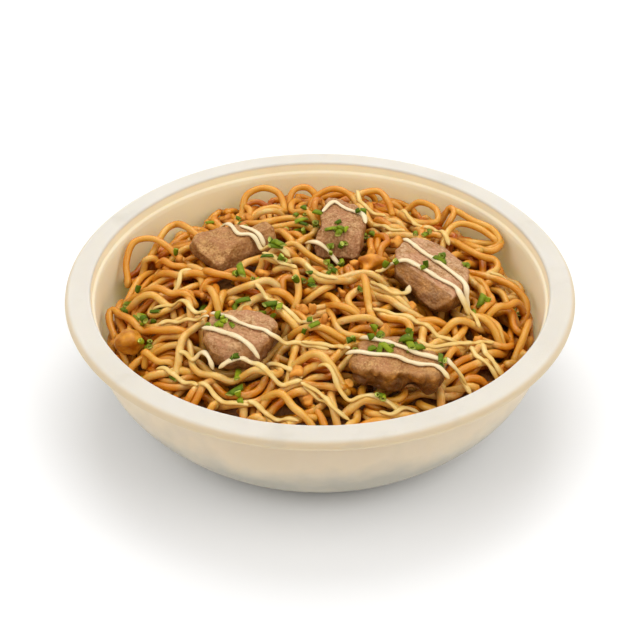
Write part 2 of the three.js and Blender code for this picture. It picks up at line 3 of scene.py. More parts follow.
import bpy
import numpy as np
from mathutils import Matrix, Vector


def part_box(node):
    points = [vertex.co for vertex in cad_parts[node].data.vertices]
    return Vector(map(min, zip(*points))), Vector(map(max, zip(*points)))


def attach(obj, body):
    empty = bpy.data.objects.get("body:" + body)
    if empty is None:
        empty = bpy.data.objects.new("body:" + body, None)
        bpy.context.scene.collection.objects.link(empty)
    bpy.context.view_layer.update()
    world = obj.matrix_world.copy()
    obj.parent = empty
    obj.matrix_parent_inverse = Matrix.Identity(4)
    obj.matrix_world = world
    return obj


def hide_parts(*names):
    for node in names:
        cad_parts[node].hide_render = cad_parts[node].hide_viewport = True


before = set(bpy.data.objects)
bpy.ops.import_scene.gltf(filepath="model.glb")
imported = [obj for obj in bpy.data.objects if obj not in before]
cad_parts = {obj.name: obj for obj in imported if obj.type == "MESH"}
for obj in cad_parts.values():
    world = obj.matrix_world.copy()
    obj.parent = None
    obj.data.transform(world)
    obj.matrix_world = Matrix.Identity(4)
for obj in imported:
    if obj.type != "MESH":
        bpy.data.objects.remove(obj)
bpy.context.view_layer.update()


# ---- Bowl ------------------------------------------------------------------------------------
# A round takeaway bowl pressed from cream plant-fibre pulp in one piece: a flat foot ring, a
# curved side, a sloping ledge inside the mouth and a flat flange with a turned-down round lip.

_, bowl_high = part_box("bowl")
rim_height = bowl_high.z
lip_radius = bowl_high.x
flange_radius = lip_radius - 0.0032      # where the flat flange starts to turn down
mouth_radius = lip_radius - 0.0111       # inner edge of the flange
lip_drop = 0.0037                        # how far the lip reaches below the flange
base_radius = 0.075                      # where the side leaves the table
side_flare = 0.024                       # how much wider the side is where it turns upright
side_height = 0.034                      # height at which it turns upright
side_power = 1.65
wall = 0.0016
foot_inner = 0.060                       # inner radius of the foot ring
foot_recess = 0.0012                     # how far the underside stands clear of the table
# The grey on the lower side of the bowl is painted shade.
shade_top, shade_length = 38, 14           # the height, in millimetres, where the grey starts, and
                                         # how far below that it is full
bowl_segments = 288
mm = 0.001


def side_radius(z):
    """Outer radius of the side: base + flare * (1 - (1 - z / side height) ** power)."""
    rise = np.clip(np.asarray(z, float) / side_height, 0.0, 1.0)
    return base_radius + side_flare * (1.0 - (1.0 - rise) ** side_power)


def inner_radius(z):
    """Inner radius of the wall: the outer radius less the wall's width measured level, which is
    wall * hypot(1, slope); slope = flare * power / height * (1 - z / height) ** (power - 1)."""
    rise = np.clip(np.asarray(z, float) / side_height, 0.0, 1.0)
    slope = side_flare * side_power / side_height * (1.0 - rise) ** 0.65
    return side_radius(z) - wall * np.hypot(1.0, slope)


def arc(radius, height, size, start, end, steps):
    """Points (radius, height) on a circular arc about a centre, from one angle to another."""
    turn = np.radians(np.linspace(start, end, steps))
    return np.column_stack([radius + size * np.cos(turn), height + size * np.sin(turn)])


def strip(start, end, steps):
    """Points evenly spread along a straight line, with both its ends."""
    return np.linspace(start, end, steps + 1)


def bowl_profile():
    """The closed outline (radius, height) from the middle of the underside, round the outside
    and the lip, and back along the inside to the middle of the floor."""
    under = rim_height - wall
    floor = foot_recess + wall
    upright = rim_height - 0.0074        # top of the upright part of the side
    ledge = rim_height - 0.0044          # top of the sloping ledge
    levels = np.linspace(0.0012, side_height, 40)
    inner_levels = np.linspace(side_height, 0.0052, 36)
    top_inside = float(inner_radius(upright))
    corner = float(inner_radius(inner_levels[-1]))
    return np.vstack([
        # underside, foot ring and outside of the side
        strip((0.0, foot_recess), (foot_inner - 0.0018, foot_recess), 14),
        strip((foot_inner - 0.0012, foot_recess - 0.0002), (foot_inner, 0.0), 3),
        strip((foot_inner + 0.0006, 0.0), (base_radius - 0.0012, 0.0), 6),
        np.column_stack([side_radius(levels), levels]),
        strip((side_radius(side_height), side_height + 0.002), (side_radius(upright), upright), 6),
        # ledge and flange from below, and the lip
        strip((mouth_radius + 0.0006, rim_height - 0.0062), (mouth_radius + 0.0016, ledge), 3),
        strip((mouth_radius + 0.0021, under - 0.0004), (flange_radius - 0.0002, under), 5),
        arc(flange_radius - 0.0002, under - 0.0017, 0.0017, 80, 0, 7),
        arc(lip_radius - 0.0009, rim_height - lip_drop + 0.0008, 0.0008, 180, 360, 9),
        arc(flange_radius, rim_height - 0.0031, 0.0031, 4, 84, 12),
        # flange and ledge from above
        strip((flange_radius - 0.0006, rim_height), (mouth_radius + 0.0018, rim_height), 8),
        arc(mouth_radius + 0.0012, rim_height - 0.0012, 0.0012, 80, 180, 8),
        strip((mouth_radius, rim_height - 0.0018), (mouth_radius - 0.0003, ledge + 0.0006), 4),
        arc(mouth_radius - 0.0010, ledge + 0.0002, 0.0007, -10, -50, 3),
        strip((mouth_radius - 0.0012, ledge - 0.0010), (top_inside, upright), 4),
        # inside of the side, and the floor
        strip((top_inside, upright - 0.001), (inner_radius(side_height), side_height + 0.001), 8),
        np.column_stack([inner_radius(inner_levels), inner_levels]),
        strip((corner - 0.0016, floor + 0.0008), (corner - 0.0040, floor), 4),
        strip((corner - 0.0060, floor), (0.0, floor), 10),
    ])


def grid_faces(rows, columns, wrap):
    """Triangles of a grid of points, two to a cell, joined round from the last column to the
    first where wrap is set. Rows rise and columns turn left, seen from outside."""
    row, column = np.meshgrid(np.arange(rows - 1), np.arange(columns - (not wrap)), indexing="ij")
    a = row * columns + column
    b = row * columns + (column + 1) % columns
    c, d = a + columns, b + columns
    first, second = np.stack([a, b, d], -1), np.stack([a, d, c], -1)
    return np.vstack([first.reshape(-1, 3), second.reshape(-1, 3)])


def full_turn(steps):
    """The angles of equal steps round a circle."""
    return 2 * pi * np.arange(steps) / steps


def around_axis(radius, turn, z):
    """Points at a radius from the upright axis, at angles about it and at heights."""
    x, y = radius * np.cos(turn), radius * np.sin(turn)
    return np.stack([x, y, np.broadcast_to(z, x.shape)], -1)


def close_rings(rings, low_pole, high_pole):
    """Points and faces of an array of rings of points, with a fan of triangles from the first
    ring to one pole and from the last ring to the other."""
    count, around = rings.shape[:2]
    j = np.arange(around)
    following = (j + 1) % around
    last = (count - 1) * around
    low = np.stack([np.full(around, last + around), following, j], -1)
    high = np.stack([last + j, last + following, np.full(around, last + around + 1)], -1)
    points = np.vstack([rings.reshape(-1, 3), [low_pole, high_pole]])
    return points, np.vstack([grid_faces(count, around, True), low, high])


def revolve(profile, segments):
    """Surface of revolution: each profile point (radius, height) turned through equal steps,
    with its first and last points, on the axis, as single poles."""
    rings = around_axis(profile[1:-1, :1], full_turn(segments), profile[1:-1, 1:])
    return close_rings(rings, (0, 0, profile[0, 1]), (0, 0, profile[-1, 1]))


def set_values(piece, **values):
    """Keeps one number for each point of the piece under each name."""
    for key, numbers in values.items():
        layer = piece.data.attributes.new(key, "FLOAT", "POINT")
        layer.data.foreach_set("value", np.asarray(numbers, np.float32))


def add_piece(name, points, faces, material, **values):
    """A smooth-shaded mesh object from an (n, 3) array of points and an (m, 3) array of corners,
    with one number per point for each named value."""
    mesh = bpy.data.meshes.new(name)
    mesh.vertices.add(len(points))
    mesh.vertices.foreach_set("co", np.asarray(points, np.float32).ravel())
    mesh.loops.add(faces.size)
    mesh.loops.foreach_set("vertex_index", faces.astype(np.int32).ravel())
    mesh.polygons.add(len(faces))
    mesh.polygons.foreach_set("loop_start", np.arange(0, faces.size, 3, dtype=np.int32))
    mesh.polygons.foreach_set("use_smooth", np.ones(len(faces), bool))
    mesh.update(calc_edges=True)
    mesh.validate()
    mesh.materials.append(material)
    piece = bpy.data.objects.new(name, mesh)
    bpy.context.scene.collection.objects.link(piece)
    set_values(piece, **values)
    return piece


def settle(piece, node):
    """Rides the piece on the dish and hides the imported part of the node it stands for."""
    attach(piece, "root")
    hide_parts(node)


def feed(node, inputs):
    """Fills a node's inputs: each value is a socket to link, a number or a colour."""
    for key, value in inputs.items():
        target = node.inputs[key]
        if isinstance(value, bpy.types.NodeSocket):
            node.id_data.links.new(value, target)
        else:
            target.default_value = (*value, 1) if target.type == "RGBA" else value


def add_node(tree, kind, inputs, **settings):
    """A shader node of a kind with its settings made and its inputs filled."""
    node = tree.nodes.new("ShaderNode" + kind)
    for key, value in settings.items():
        setattr(node, key, value)
    feed(node, inputs)
    return node


def maths(tree, operation, *values, clamp=False):
    """The result of a sum on values that are each a socket or a number."""
    inputs = dict(enumerate(values))
    return add_node(tree, "Math", inputs, operation=operation, use_clamp=clamp).outputs[0]


def blend(tree, factor, first, second, way="MIX"):
    """Mixes two colours, each a socket or a plain colour, by a factor socket."""
    inputs = {"Factor": factor, "A": first, "B": second}
    return add_node(tree, "Mix", inputs, data_type="RGBA", blend_type=way).outputs["Result"]


def attribute(tree, name):
    """A number that the mesh holds for each point."""
    return add_node(tree, "Attribute", {}, attribute_name=name).outputs["Fac"]


def bump(tree, height, strength, distance):
    """A normal that follows a height socket."""
    inputs = {"Height": height, "Strength": strength, "Distance": distance}
    return add_node(tree, "Bump", inputs).outputs["Normal"]


def noise(tree, place, scale, detail):
    """Soft noise about 0.5 at a place."""
    inputs = {"Vector": place, "Scale": scale, "Detail": detail}
    return add_node(tree, "TexNoise", inputs).outputs["Fac"]


def uneven_group():
    """Shared node group: soft noise on the object's own coordinates, stretched by a contrast, and
    finer noise as flecks choose a place between two colours. It gives that colour, that place as
    patches and the finer noise as a height."""
    group = bpy.data.node_groups.new("uneven", "ShaderNodeTree")
    for way, keys in (
        ("INPUT", ("Light", "Dark", "Patch Scale", "Grain Scale", "Contrast", "Speckle")),
        ("OUTPUT", ("Color", "Height", "Patches")),
    ):
        for key in keys:
            kind = "NodeSocketColor" if key in ("Light", "Dark", "Color") else "NodeSocketFloat"
            group.interface.new_socket(key, in_out=way, socket_type=kind)
    given = group.nodes.new("NodeGroupInput").outputs
    place = add_node(group, "TexCoord", {}).outputs["Object"]
    patches = noise(group, place, given["Patch Scale"], 4.0)
    grain = noise(group, place, given["Grain Scale"], 3.0)
    flecks = maths(group, "MULTIPLY_ADD", maths(group, "SUBTRACT", grain, 0.5),
                   given["Speckle"], 0.5)
    spread = maths(group, "MULTIPLY_ADD", maths(group, "SUBTRACT", patches, 0.5),
                   given["Contrast"], flecks, clamp=True)
    feed(group.nodes.new("NodeGroupOutput"), {
        "Color": blend(group, spread, given["Dark"], given["Light"]),
        "Height": grain, "Patches": spread})
    return group


uneven = uneven_group()


def place_uneven(tree, light, dark, patch_scale, grain_scale, contrast, speckle=0.0):
    """Places the shared group in a material with that material's own values."""
    return add_node(tree, "Group", {
        "Light": light, "Dark": dark, "Patch Scale": patch_scale, "Grain Scale": grain_scale,
        "Contrast": contrast, "Speckle": speckle}, node_tree=uneven).outputs


def shader_material(name):
    """A node material; returns it with its node tree and its shader."""
    material = bpy.data.materials.new(name)
    material.use_nodes = True
    return material, material.node_tree, material.node_tree.nodes["Principled BSDF"]


def glow_through(weight, radius, scale):
    """The shader's inputs for light that spreads below the surface."""
    return {"Subsurface Weight": weight, "Subsurface Radius": radius, "Subsurface Scale": scale}


def pulp_material():
    """Matt cream pulp with soft blotches and fine fibre grain, coloured to paint light and shade:
    palest, and dimmed against its strong light, on the flange; a tan painted shade on the lip's
    side; brighter and warmer inside the bowl as painted bounce light; and a grey painted shade
    below a ragged edge on the lower side."""
    material, tree, shader = shader_material("pulp")
    # One pulp in three colours that paint the light on each part: the flange dimmed under its strong
    # light, the side a tan painted shade, the inside brighter and warmer as painted bounce light.
    flange = place_uneven(tree, (0.61, 0.582, 0.525), (0.56, 0.527, 0.462), 45.0, 1500.0, 1.2)
    body = place_uneven(tree, (0.685, 0.592, 0.447), (0.62, 0.527, 0.386), 60.0, 1500.0, 1.4)
    inner = place_uneven(tree, (0.93, 0.82, 0.63), (0.90, 0.765, 0.565), 45.0, 1500.0, 1.2)
    outer = blend(tree, attribute(tree, "below_lip"), flange["Color"], body["Color"])
    # Painted shade: the lip's side, which faces out and down, is a darker tan.
    lip = blend(tree, attribute(tree, "lip"), outer, (0.565, 0.465, 0.32))
    # Painted shade: grey below a ragged edge on the lower side, where the low value and the blotches
    # together pass 0.75.
    ragged = maths(tree, "MULTIPLY_ADD", body["Patches"], 1.2, attribute(tree, "low"))
    grey = maths(tree, "ADD", ragged, -0.75, clamp=True)
    shaded = blend(tree, grey, lip, (0.41, 0.38, 0.31))
    feed(shader, {
        # the inside's brighter, warmer colour is painted bounce light
        "Base Color": blend(tree, attribute(tree, "inside"), shaded, inner["Color"]),
        "Roughness": 0.75, **glow_through(0.8, (1.0, 0.85, 0.6), 0.004),
        "Normal": bump(tree, flange["Height"], 0.25, 0.0002)})
    return material


def fade(values, start, length):
    """0 up to a start, then rising evenly to 1 over a length."""
    return np.clip((values - start) / length, 0, 1)


outline = bowl_profile()
bowl_points, bowl_faces = revolve(outline, bowl_segments)
past_lip = np.arange(len(outline)) > np.argmax(outline[:, 0])
in_mouth = past_lip & (outline[:, 0] < mouth_radius + 0.0018)
within = np.concatenate([np.repeat(in_mouth[1:-1], bowl_segments), [False, True]])
reach = np.hypot(bowl_points[:, 0], bowl_points[:, 1])
under_top = (rim_height - bowl_points[:, 2]) / mm
# on_lip and the lip value mark the lip's side, which painted shade makes a darker tan.
on_lip = (reach > flange_radius - 0.5 * mm) & ~within
bowl = add_piece(
    "pulp_bowl", bowl_points, bowl_faces, pulp_material(),
    inside=np.where(within, fade(under_top, 0.7, 0.9), 0.0),
    below_lip=np.where(within, 0.0, fade(under_top, 0.3, 2.0)),
    lip=np.where(on_lip, fade(under_top, 0.1, 0.8), 0.0),
    # low rises towards the foot and places the painted grey shade
    low=np.where(within, 0.0, np.clip((shade_top - bowl_points[:, 2] / mm) / shade_length, 0, 1.2)))
settle(bowl, "bowl")


# ---- Noodle heap -----------------------------------------------------------------------------
# Fried wheat noodles, piled loosely to just under the rim. They lie on a bed of noodles and
# sauce, dark with painted shade, cross and bridge each other, and a few stand up in loops at the
# back and the sides.

heap_top = 56 * mm
heap_edge = 33 * mm
heap_back_rise = 9 * mm
heap_power = 3.2
bed_drop = 13 * mm                       # the bed lies this far below the top of the noodles
bed_sides = 160
noodle_radius = 1.65 * mm
noodle_sides = 10
noodle_step = 1.6 * mm
noodle_bend = 8 * mm                     # the tightest curve a noodle takes over a bump
noodle_lengths = (80, 210)               # millimetres, before what finds no room is cut off
noodle_curl = 0.21                       # its sharpest turn from above, in radians a millimetre
noodle_gap = 3.4 * mm                    # from one noodle to the next where they cling together
shortest_noodle = 25                     # millimetres
dip_length = 10                          # millimetres of each end that dip into the heap
heap_play = 2.0 * mm                     # how far a noodle may stand above the heap's form
arch_play = 5.0 * mm                     # how far an arch may
topmost_play = 3.5 * mm                  # how far the uppermost noodles may
wall_room = float(inner_radius(side_height)) - noodle_radius - 1.0 * mm
wall_gap = 0.4 * mm                      # least distance from the noodles and the bed to the bowl
noodle_share = 3                         # pieces that the noodles are split into
cell = 0.8 * mm                          # size of a cell of the relief map
half_cells = 122                         # cells from the middle of the map to its edge
front_reach = 6 * mm                     # noodles this close in front of a piece of pork stay low,
front_play = 3.0 * mm                    # at most this far above its underside
lump_room = 7 * mm                       # noodles this close to the middle of a lump stay low,
lump_sink = 3                            # at least these millimetres below it
carrot_middle = (23, 14, 54)             # millimetres
onion_middle = (-80, -30, 43.5)
rng = np.random.default_rng(7)


def heap_height(x, y):
    """Top of the noodles: top - (top - edge) * reach ** power, with a higher edge at the back."""
    reach = np.hypot(x, y) / inner_radius(side_height)
    back = np.clip(np.sin(np.arctan2(y, x)), 0, None)
    edge = heap_edge + heap_back_rise * back ** 2
    return heap_top - (heap_top - edge) * np.minimum(reach, 1) ** heap_power


# The five pieces of pork: corners of the outline, top in the middle, thickness and fall of the
# top for each millimetre towards +X and +Y, all in millimetres.
pork = {
    "pork_back_left": (
        [(-60, 30), (-47, 36), (-22, 40), (-18, 31), (-33, 22), (-38, 14), (-46, 13), (-54, 20)],
        59.5, 10, (-0.05, -0.05)),
    "pork_back": (
        [(4, 64), (17, 62), (21, 40), (17, 21), (-3, 22), (1, 46)],
        60, 10.5, (0.06, 0.02)),
    "pork_back_right": (
        [(42, 28), (52, 27), (66, 8), (64, -8), (56, -16), (48, -16), (33, 4), (33, 16)],
        58.5, 10, (0.12, -0.05)),
    "pork_front_left": (
        [(-43, -26), (-28, -27), (-17, -34), (-21, -44), (-25, -53), (-37, -55), (-46, -50),
         (-49, -38)],
        57.5, 9.5, (-0.03, -0.06)),
    "pork_front_right": (
        [(12, -57), (21, -46), (33, -45), (46, -53), (51, -60), (45, -67), (30, -67), (16, -64)],
        57.5, 11, (0.06, -0.08)),
}


def outline_distance(outline, x, y):
    """Distance from each place to a closed outline, below 0 inside it: the least distance to a
    side, with a sign from the number of sides crossed by a level ray."""
    corners = np.asarray(outline, float) * mm
    nearest = np.full(np.shape(x), np.inf)
    inside = np.zeros(np.shape(x), bool)
    for (x1, y1), (x2, y2) in zip(corners, np.roll(corners, -1, axis=0)):
        dx, dy = x2 - x1, y2 - y1
        part = np.clip(((x - x1) * dx + (y - y1) * dy) / (dx * dx + dy * dy), 0, 1)
        nearest = np.minimum(nearest, np.hypot(x1 + part * dx - x, y1 + part * dy - y))
        crossed = ((y1 > y) != (y2 > y)) & (x < x1 + (y - y1) / (dy if dy else 1e-9) * dx)
        inside ^= crossed
    return np.where(inside, -nearest, nearest)


def meat_top(meat, x, y):
    """Height of a piece of pork's top: a plane through the middle of its corners."""
    outline, top, _, fall = meat
    middle = np.mean(outline, axis=0) * mm
    return top * mm - fall[0] * (x - middle[0]) - fall[1] * (y - middle[1])


# Two maps of the dish, cell by cell: the relief is how high what lies there reaches, and the
# ceiling is how high a noodle may reach under and in front of the pork and round the lumps,
# with 1 m where nothing limits it.
axis_cells = (np.arange(2 * half_cells + 1) - half_cells) * cell
cell_x, cell_y = np.meshgrid(axis_cells, axis_cells, indexing="ij")
relief = heap_height(cell_x, cell_y) - bed_drop
ceiling = np.full_like(relief, 1.0)
for meat in pork.values():
    covered = outline_distance(meat[0], cell_x, cell_y) < noodle_radius + 0.2 * mm
    below = meat_top(meat, cell_x, cell_y) - meat[2] * mm
    ceiling[covered] = np.minimum(ceiling, below)[covered]
    ahead = outline_distance(meat[0], cell_x, cell_y + front_reach) < 0
    ceiling[ahead] = np.minimum(ceiling, below + front_play)[ahead]
for middle in (carrot_middle, onion_middle):
    away = np.hypot(cell_x - middle[0] * mm, cell_y - middle[1] * mm)
    ceiling[away < lump_room] = (middle[2] - lump_sink) * mm


def footprint(radius):
    """The cells under a round thing, and how far its surface stands above its middle there."""
    span = int(np.ceil(radius / cell))
    i, j = np.mgrid[-span:span + 1, -span:span + 1].reshape(2, -1)
    inside = (i * i + j * j) * cell ** 2 < radius ** 2
    i, j = i[inside], j[inside]
    return i, j, np.sqrt(radius ** 2 - (i * i + j * j) * cell ** 2)


def cells_under(plan, marks):
    """Indices in the maps of the cells round each point of a plan."""
    at = np.rint(plan / cell).astype(int) + half_cells
    i = np.clip(at[:, :1] + marks[0], 0, 2 * half_cells)
    j = np.clip(at[:, 1:2] + marks[1], 0, 2 * half_cells)
    return i, j


def cell_of(points):
    """Indices in the maps of the one cell at each point."""
    at = np.clip(np.rint(points[:, :2] / cell).astype(int) + half_cells, 0, 2 * half_cells)
    return at[:, 0], at[:, 1]


def drape(plan, radius, bend):
    """Heights along a plan: each point's own resting height, raised to the parabolas of radius
    bend that open downwards from all the other points."""
    marks = footprint(radius)
    needed = (relief[cells_under(plan, marks)] + marks[2]).max(axis=1)
    along = np.cumsum(np.hypot(*np.diff(plan, axis=0, prepend=plan[:1]).T))
    gap = along[:, None] - along[None, :]
    return (needed[None, :] - gap ** 2 / (2 * bend)).max(axis=1)


def bury(path, radius):
    """Raises the relief map to the top of a strand along a path."""
    marks = footprint(radius)
    np.maximum.at(relief, cells_under(path[:, :2], marks), path[:, 2:3] + marks[2])


def squeeze(plan, room):
    """Keeps a plan inside the bowl: past 0.8 of the room, a radius is pressed towards it."""
    radius = np.hypot(plan[:, 0], plan[:, 1])
    knee = 0.8 * room
    pressed = knee + (room - knee) * (1 - np.exp(-np.clip(radius - knee, 0, None) / (room - knee)))
    scale = np.where(radius > knee, pressed / np.maximum(radius, 1e-9), 1.0)
    return plan * scale[:, None]


def wander(start, length):
    """A plan a millimetre a step: its heading is the running sum of a curl made of three waves
    and, every 60 mm or so, one tight turn."""
    steps = np.arange(int(length / mm))
    curl = rng.normal(0, 0.010) * np.ones(len(steps))
    for wave, size in ((90, 0.035), (42, 0.055), (19, 0.085)):
        curl += size * rng.normal() * np.sin(2 * pi * steps / wave + rng.uniform(0, 2 * pi))
    for _ in range(rng.poisson(length / (60 * mm))):
        place = rng.uniform(0.1, 0.9) * len(steps)
        width = rng.uniform(4, 8)
        curl += rng.choice([-1, 1]) * rng.uniform(0.6, 1.4) / width * np.exp(
            -((steps - place) / width) ** 2)
    heading = rng.uniform(0, 2 * pi) + np.cumsum(np.clip(curl, -noodle_curl, noodle_curl))
    walk = np.column_stack([np.cumsum(np.cos(heading)), np.cumsum(np.sin(heading))]) * mm
    return start + walk - walk.mean(axis=0)


def unit_steps(path):
    """The direction of a path at each of its points."""
    along = np.gradient(path, axis=0)
    return along / np.linalg.norm(along, axis=1)[:, None]


def beside(plan, offset):
    """A plan moved sideways by an offset, for noodles that cling together."""
    along = unit_steps(plan)
    return plan + offset * np.column_stack([-along[:, 1], along[:, 0]])


def longest_run(keep):
    """Start and end of the longest stretch of True."""
    edges = np.diff(np.concatenate([[0], keep.astype(int), [0]]))
    starts, ends = np.nonzero(edges == 1)[0], np.nonzero(edges == -1)[0]
    if not len(starts):
        return 0, 0
    best = np.argmax(ends - starts)
    return starts[best], ends[best]


def resample(path, step):
    """The same path with points evenly spread about a step apart."""
    along = np.concatenate([[0], np.cumsum(np.linalg.norm(np.diff(path, axis=0), axis=1))])
    even = np.linspace(0, along[-1], max(4, int(along[-1] / step) + 1))
    return np.column_stack([np.interp(even, along, values) for values in path.T])


def smooth(values, width):
    """Running mean along a path, with its ends held."""
    kernel = np.ones(width) / width
    padded = np.pad(values, ((width // 2, width // 2), (0, 0)), mode="edge")
    return np.column_stack([np.convolve(column, kernel, "valid") for column in padded.T])


def keep_inside(plan, z, radius):
    """Pulls a plan in to where a strand of a radius at these heights clears the wall."""
    room = inner_radius(np.clip(z - radius, 0.004, side_height)) - radius - wall_gap
    away = np.maximum(np.hypot(plan[:, 0], plan[:, 1]), 1e-9)
    return plan * np.minimum(1, room / away)[:, None]


noodles = []                             # each: path, tint and radius


def lay_noodle(plan, tint, radius, lift, extra=0.0):
    """Drapes a noodle over the heap, cut to its longest stretch that stays under the pork, at
    the height of the heap and inside the wall, with an optional arch. Its ends dip in."""
    for _ in range(2):
        plan = keep_inside(plan, drape(plan, radius, noodle_bend), radius)
    z = drape(plan, radius, noodle_bend)
    goal = heap_height(*plan.T) + extra
    start, end = longest_run(z + radius < np.minimum(ceiling[cell_of(plan)], goal + heap_play))
    if end - start < shortest_noodle:
        return
    plan, z, goal = plan[start:end], z[start:end], goal[start:end]
    steps = np.arange(len(z))
    if lift:
        place = rng.uniform(0.25, 0.75) * len(z)
        raised = z + lift * np.exp(-((steps - place) / rng.uniform(6, 11)) ** 2)
        z = np.maximum(z, np.minimum(raised, goal + arch_play - radius))
    ends = np.minimum(steps, steps[::-1])
    z = z - rng.uniform(5.0, 9.0) * mm * np.clip(1 - ends / dip_length, 0, 1) ** 1.6
    z = np.maximum(z, foot_recess + wall + radius)
    path = smooth(np.column_stack([keep_inside(plan, z, radius), z]), 5)
    bury(path, radius)
    noodles.append((resample(path, noodle_step), tint, radius))


def random_place(running):
    """The middle of a random cell and the relief there, with odds that are given as a running
    sum over the cells."""
    at = np.searchsorted(running, rng.random() * running[-1])
    return np.array([values.ravel()[at] for values in (cell_x, cell_y, relief)])


def pile_noodles(target, most, lift_share):
    """Lays families of one to three noodles, each on the best of five tries at where the heap is
    lowest, until the heap is within a target of its height on average, or the most are laid."""
    goal = np.minimum(heap_height(cell_x, cell_y), ceiling)
    inside = np.hypot(cell_x, cell_y) < inner_radius(np.minimum(goal, side_height)) - 3 * mm
    for _ in range(most):
        missing = np.where(inside, np.clip(goal - relief, 0, None), 0)
        if missing[inside].mean() < target:
            break
        running = np.cumsum((missing ** 2).ravel())
        plans = []
        for _ in range(5):
            start = random_place(running)[:2]
            plans.append(squeeze(wander(start, rng.uniform(*noodle_lengths) * mm), wall_room))
        plan = max(plans, key=lambda plan: missing[cell_of(plan)].mean())
        tint = rng.random()
        for k in range(rng.choice([1, 2, 3], p=[0.4, 0.35, 0.25])):
            radius = noodle_radius * rng.uniform(0.88, 1.1)
            lift = rng.uniform(2, 6.5) * mm if rng.random() < lift_share else 0.0
            lay_noodle(beside(plan, k * noodle_gap), np.clip(tint + rng.normal(0, 0.15), 0, 1),
                       radius, lift)


pile_noodles(6.0 * mm, 90, 0.0)
pile_noodles(2.6 * mm, 220, 0.35)

# Noodles that stand clear of the heap, from one foot to the other, in millimetres.
standing = [
    [(-88, 20, 38), (-88, 22, 40), (-89, 29, 45), (-86, 36, 51), (-78, 38, 52), (-71, 35, 50),
     (-64, 30, 46), (-58, 26, 44)],
    [(-80, 34, 42), (-77, 37, 46), (-73, 47, 50), (-68, 52, 51), (-62, 46, 53), (-55, 38, 52)],
    [(-39, 70, 40), (-38, 74, 44), (-36, 80, 50), (-28, 83, 52.5), (-20, 80, 51), (-17, 72, 46),
     (-16, 66, 42)],
    [(-17, 72, 41), (-16, 76, 45), (-13, 83, 51), (-6, 84, 52), (0, 79, 48), (4, 74, 44)],
    [(-5, 74, 44), (-3, 79, 49), (5, 81, 53), (12, 79, 53), (17, 75, 50), (20, 70, 46)],
    [(14, 74, 45), (18, 78, 51), (28, 81, 52), (33, 75, 50), (35, 69, 46)],
    [(38, 77, 41), (42, 74, 45), (48, 72, 51), (55, 63, 53), (56, 56, 51), (53, 55, 50),
     (46, 60, 47), (42, 67, 45)],
    [(54, 68, 40), (57, 65, 44), (63, 65, 51), (72, 53, 52.5), (81, 46, 51.5), (83, 39, 48),
     (73, 36, 46), (66, 38, 44)],
    [(55, 34, 42), (57, 39, 47), (60, 46, 51), (66, 51, 52), (75, 48, 51), (82, 40, 49),
     (78, 43, 46), (70, 46, 45), (62, 52, 43)],
    [(56, 62, 42), (59, 63, 47), (62, 65, 52), (64, 61, 52), (61, 56, 49), (59, 56, 44)],
    [(84, 44, 48), (84, 39, 48), (79, 35, 47), (72, 40, 46), (68, 46, 44)],
    [(56, 48, 42), (61, 46, 46), (68, 35, 48), (74, 29, 48), (80, 29, 46), (81, 24, 45),
     (76, 21, 43)],
    [(66, 24, 43), (76, 20, 43), (86, 13, 43), (92, 7, 39), (92, 1, 35), (88, -6, 33)],
]

# Noodles that lie uppermost, seen from above, in millimetres.
uppermost = [
    [(-79, 41), (-73, 27), (-67, 18), (-62, 16), (-58, 20)],
    [(-76, 21), (-67, 12), (-60, 7), (-52, 6), (-44, 8)],
    [(-62, 26), (-57, 26), (-53, 15), (-50, 6), (-44, 3), (-35, 2), (-28, 5)],
    [(-58, 14), (-55, 9), (-50, -1), (-45, -13), (-42, -22)],
    [(-50, -9), (-43, -7), (-38, -6), (-31, -9), (-21, -4), (-14, -7)],
    [(-37, 1), (-35, 8), (-31, 13), (-24, 12), (-15, 8), (-6, 4)],
    [(-34, -1), (-26, 7), (-19, 9), (-12, 6), (-10, -3), (-9, -11), (-12, -18)],
    [(-88, 5), (-80, 2), (-73, 0), (-66, -5), (-59, -6), (-53, -11)],
    [(-88, 0), (-81, -3), (-71, -6), (-62, -13), (-53, -16), (-45, -18)],
    [(-80, -10), (-72, -13), (-65, -14), (-57, -20), (-51, -27)],
    [(-88, -18), (-93, -6), (-92, 0), (-83, -13), (-73, -24), (-61, -31), (-50, -30)],
    [(-60, -53), (-58, -47), (-57, -39), (-53, -32), (-47, -24)],
    [(-53, -51), (-52, -40), (-52, -30), (-48, -22)],
    [(-32, -66), (-29, -61), (-27, -57), (-24, -55), (-20, -57), (-17, -63), (-17, -70)],
    [(-35, -79), (-31, -74), (-28, -70), (-25, -69), (-22, -72), (-16, -75), (-7, -77)],
    [(-36, -65), (-28, -67), (-22, -68), (-16, -71), (-4, -73), (4, -80)],
    [(-16, 14), (-7, 10), (-2, -2), (4, -6), (11, -2), (16, -1), (19, -7), (20, -16), (22, -28),
     (23, -36)],
    [(13, -36), (8, -33), (6, -24), (8, -15), (13, -12), (19, -14)],
    [(4, -28), (8, -31), (14, -32), (21, -33), (30, -32)],
    [(-14, -22), (-8, -19), (-4, -17), (1, -19), (7, -23)],
    [(50, -50), (53, -44), (58, -39), (66, -33)],
    [(50, -50), (55, -48), (61, -46), (70, -47)],
    [(66, -31), (70, -34), (73, -38), (77, -41), (79, -45)],
    [(70, -14), (76, -11), (82, -7), (88, -1), (93, 4)],
    [(66, 22), (73, 20), (81, 17), (89, 14), (93, 8), (92, -8), (87, -24), (81, -34)],
    [(64, 8), (68, 11), (73, 11), (77, 7), (77, -1), (74, -8), (69, -8)],
    [(62, -28), (66, -22), (70, -18), (74, -20), (73, -26)],
    [(20, -70), (26, -71), (33, -72), (41, -70), (48, -66), (54, -60)],
    [(3, -48), (8, -51), (12, -55), (11, -60), (6, -61), (2, -57)],
    [(-13, -53), (-7, -54), (-2, -54), (3, -58), (8, -63), (12, -66)],
    [(-14, -34), (-7, -35), (1, -37), (7, -40), (14, -41)],
]


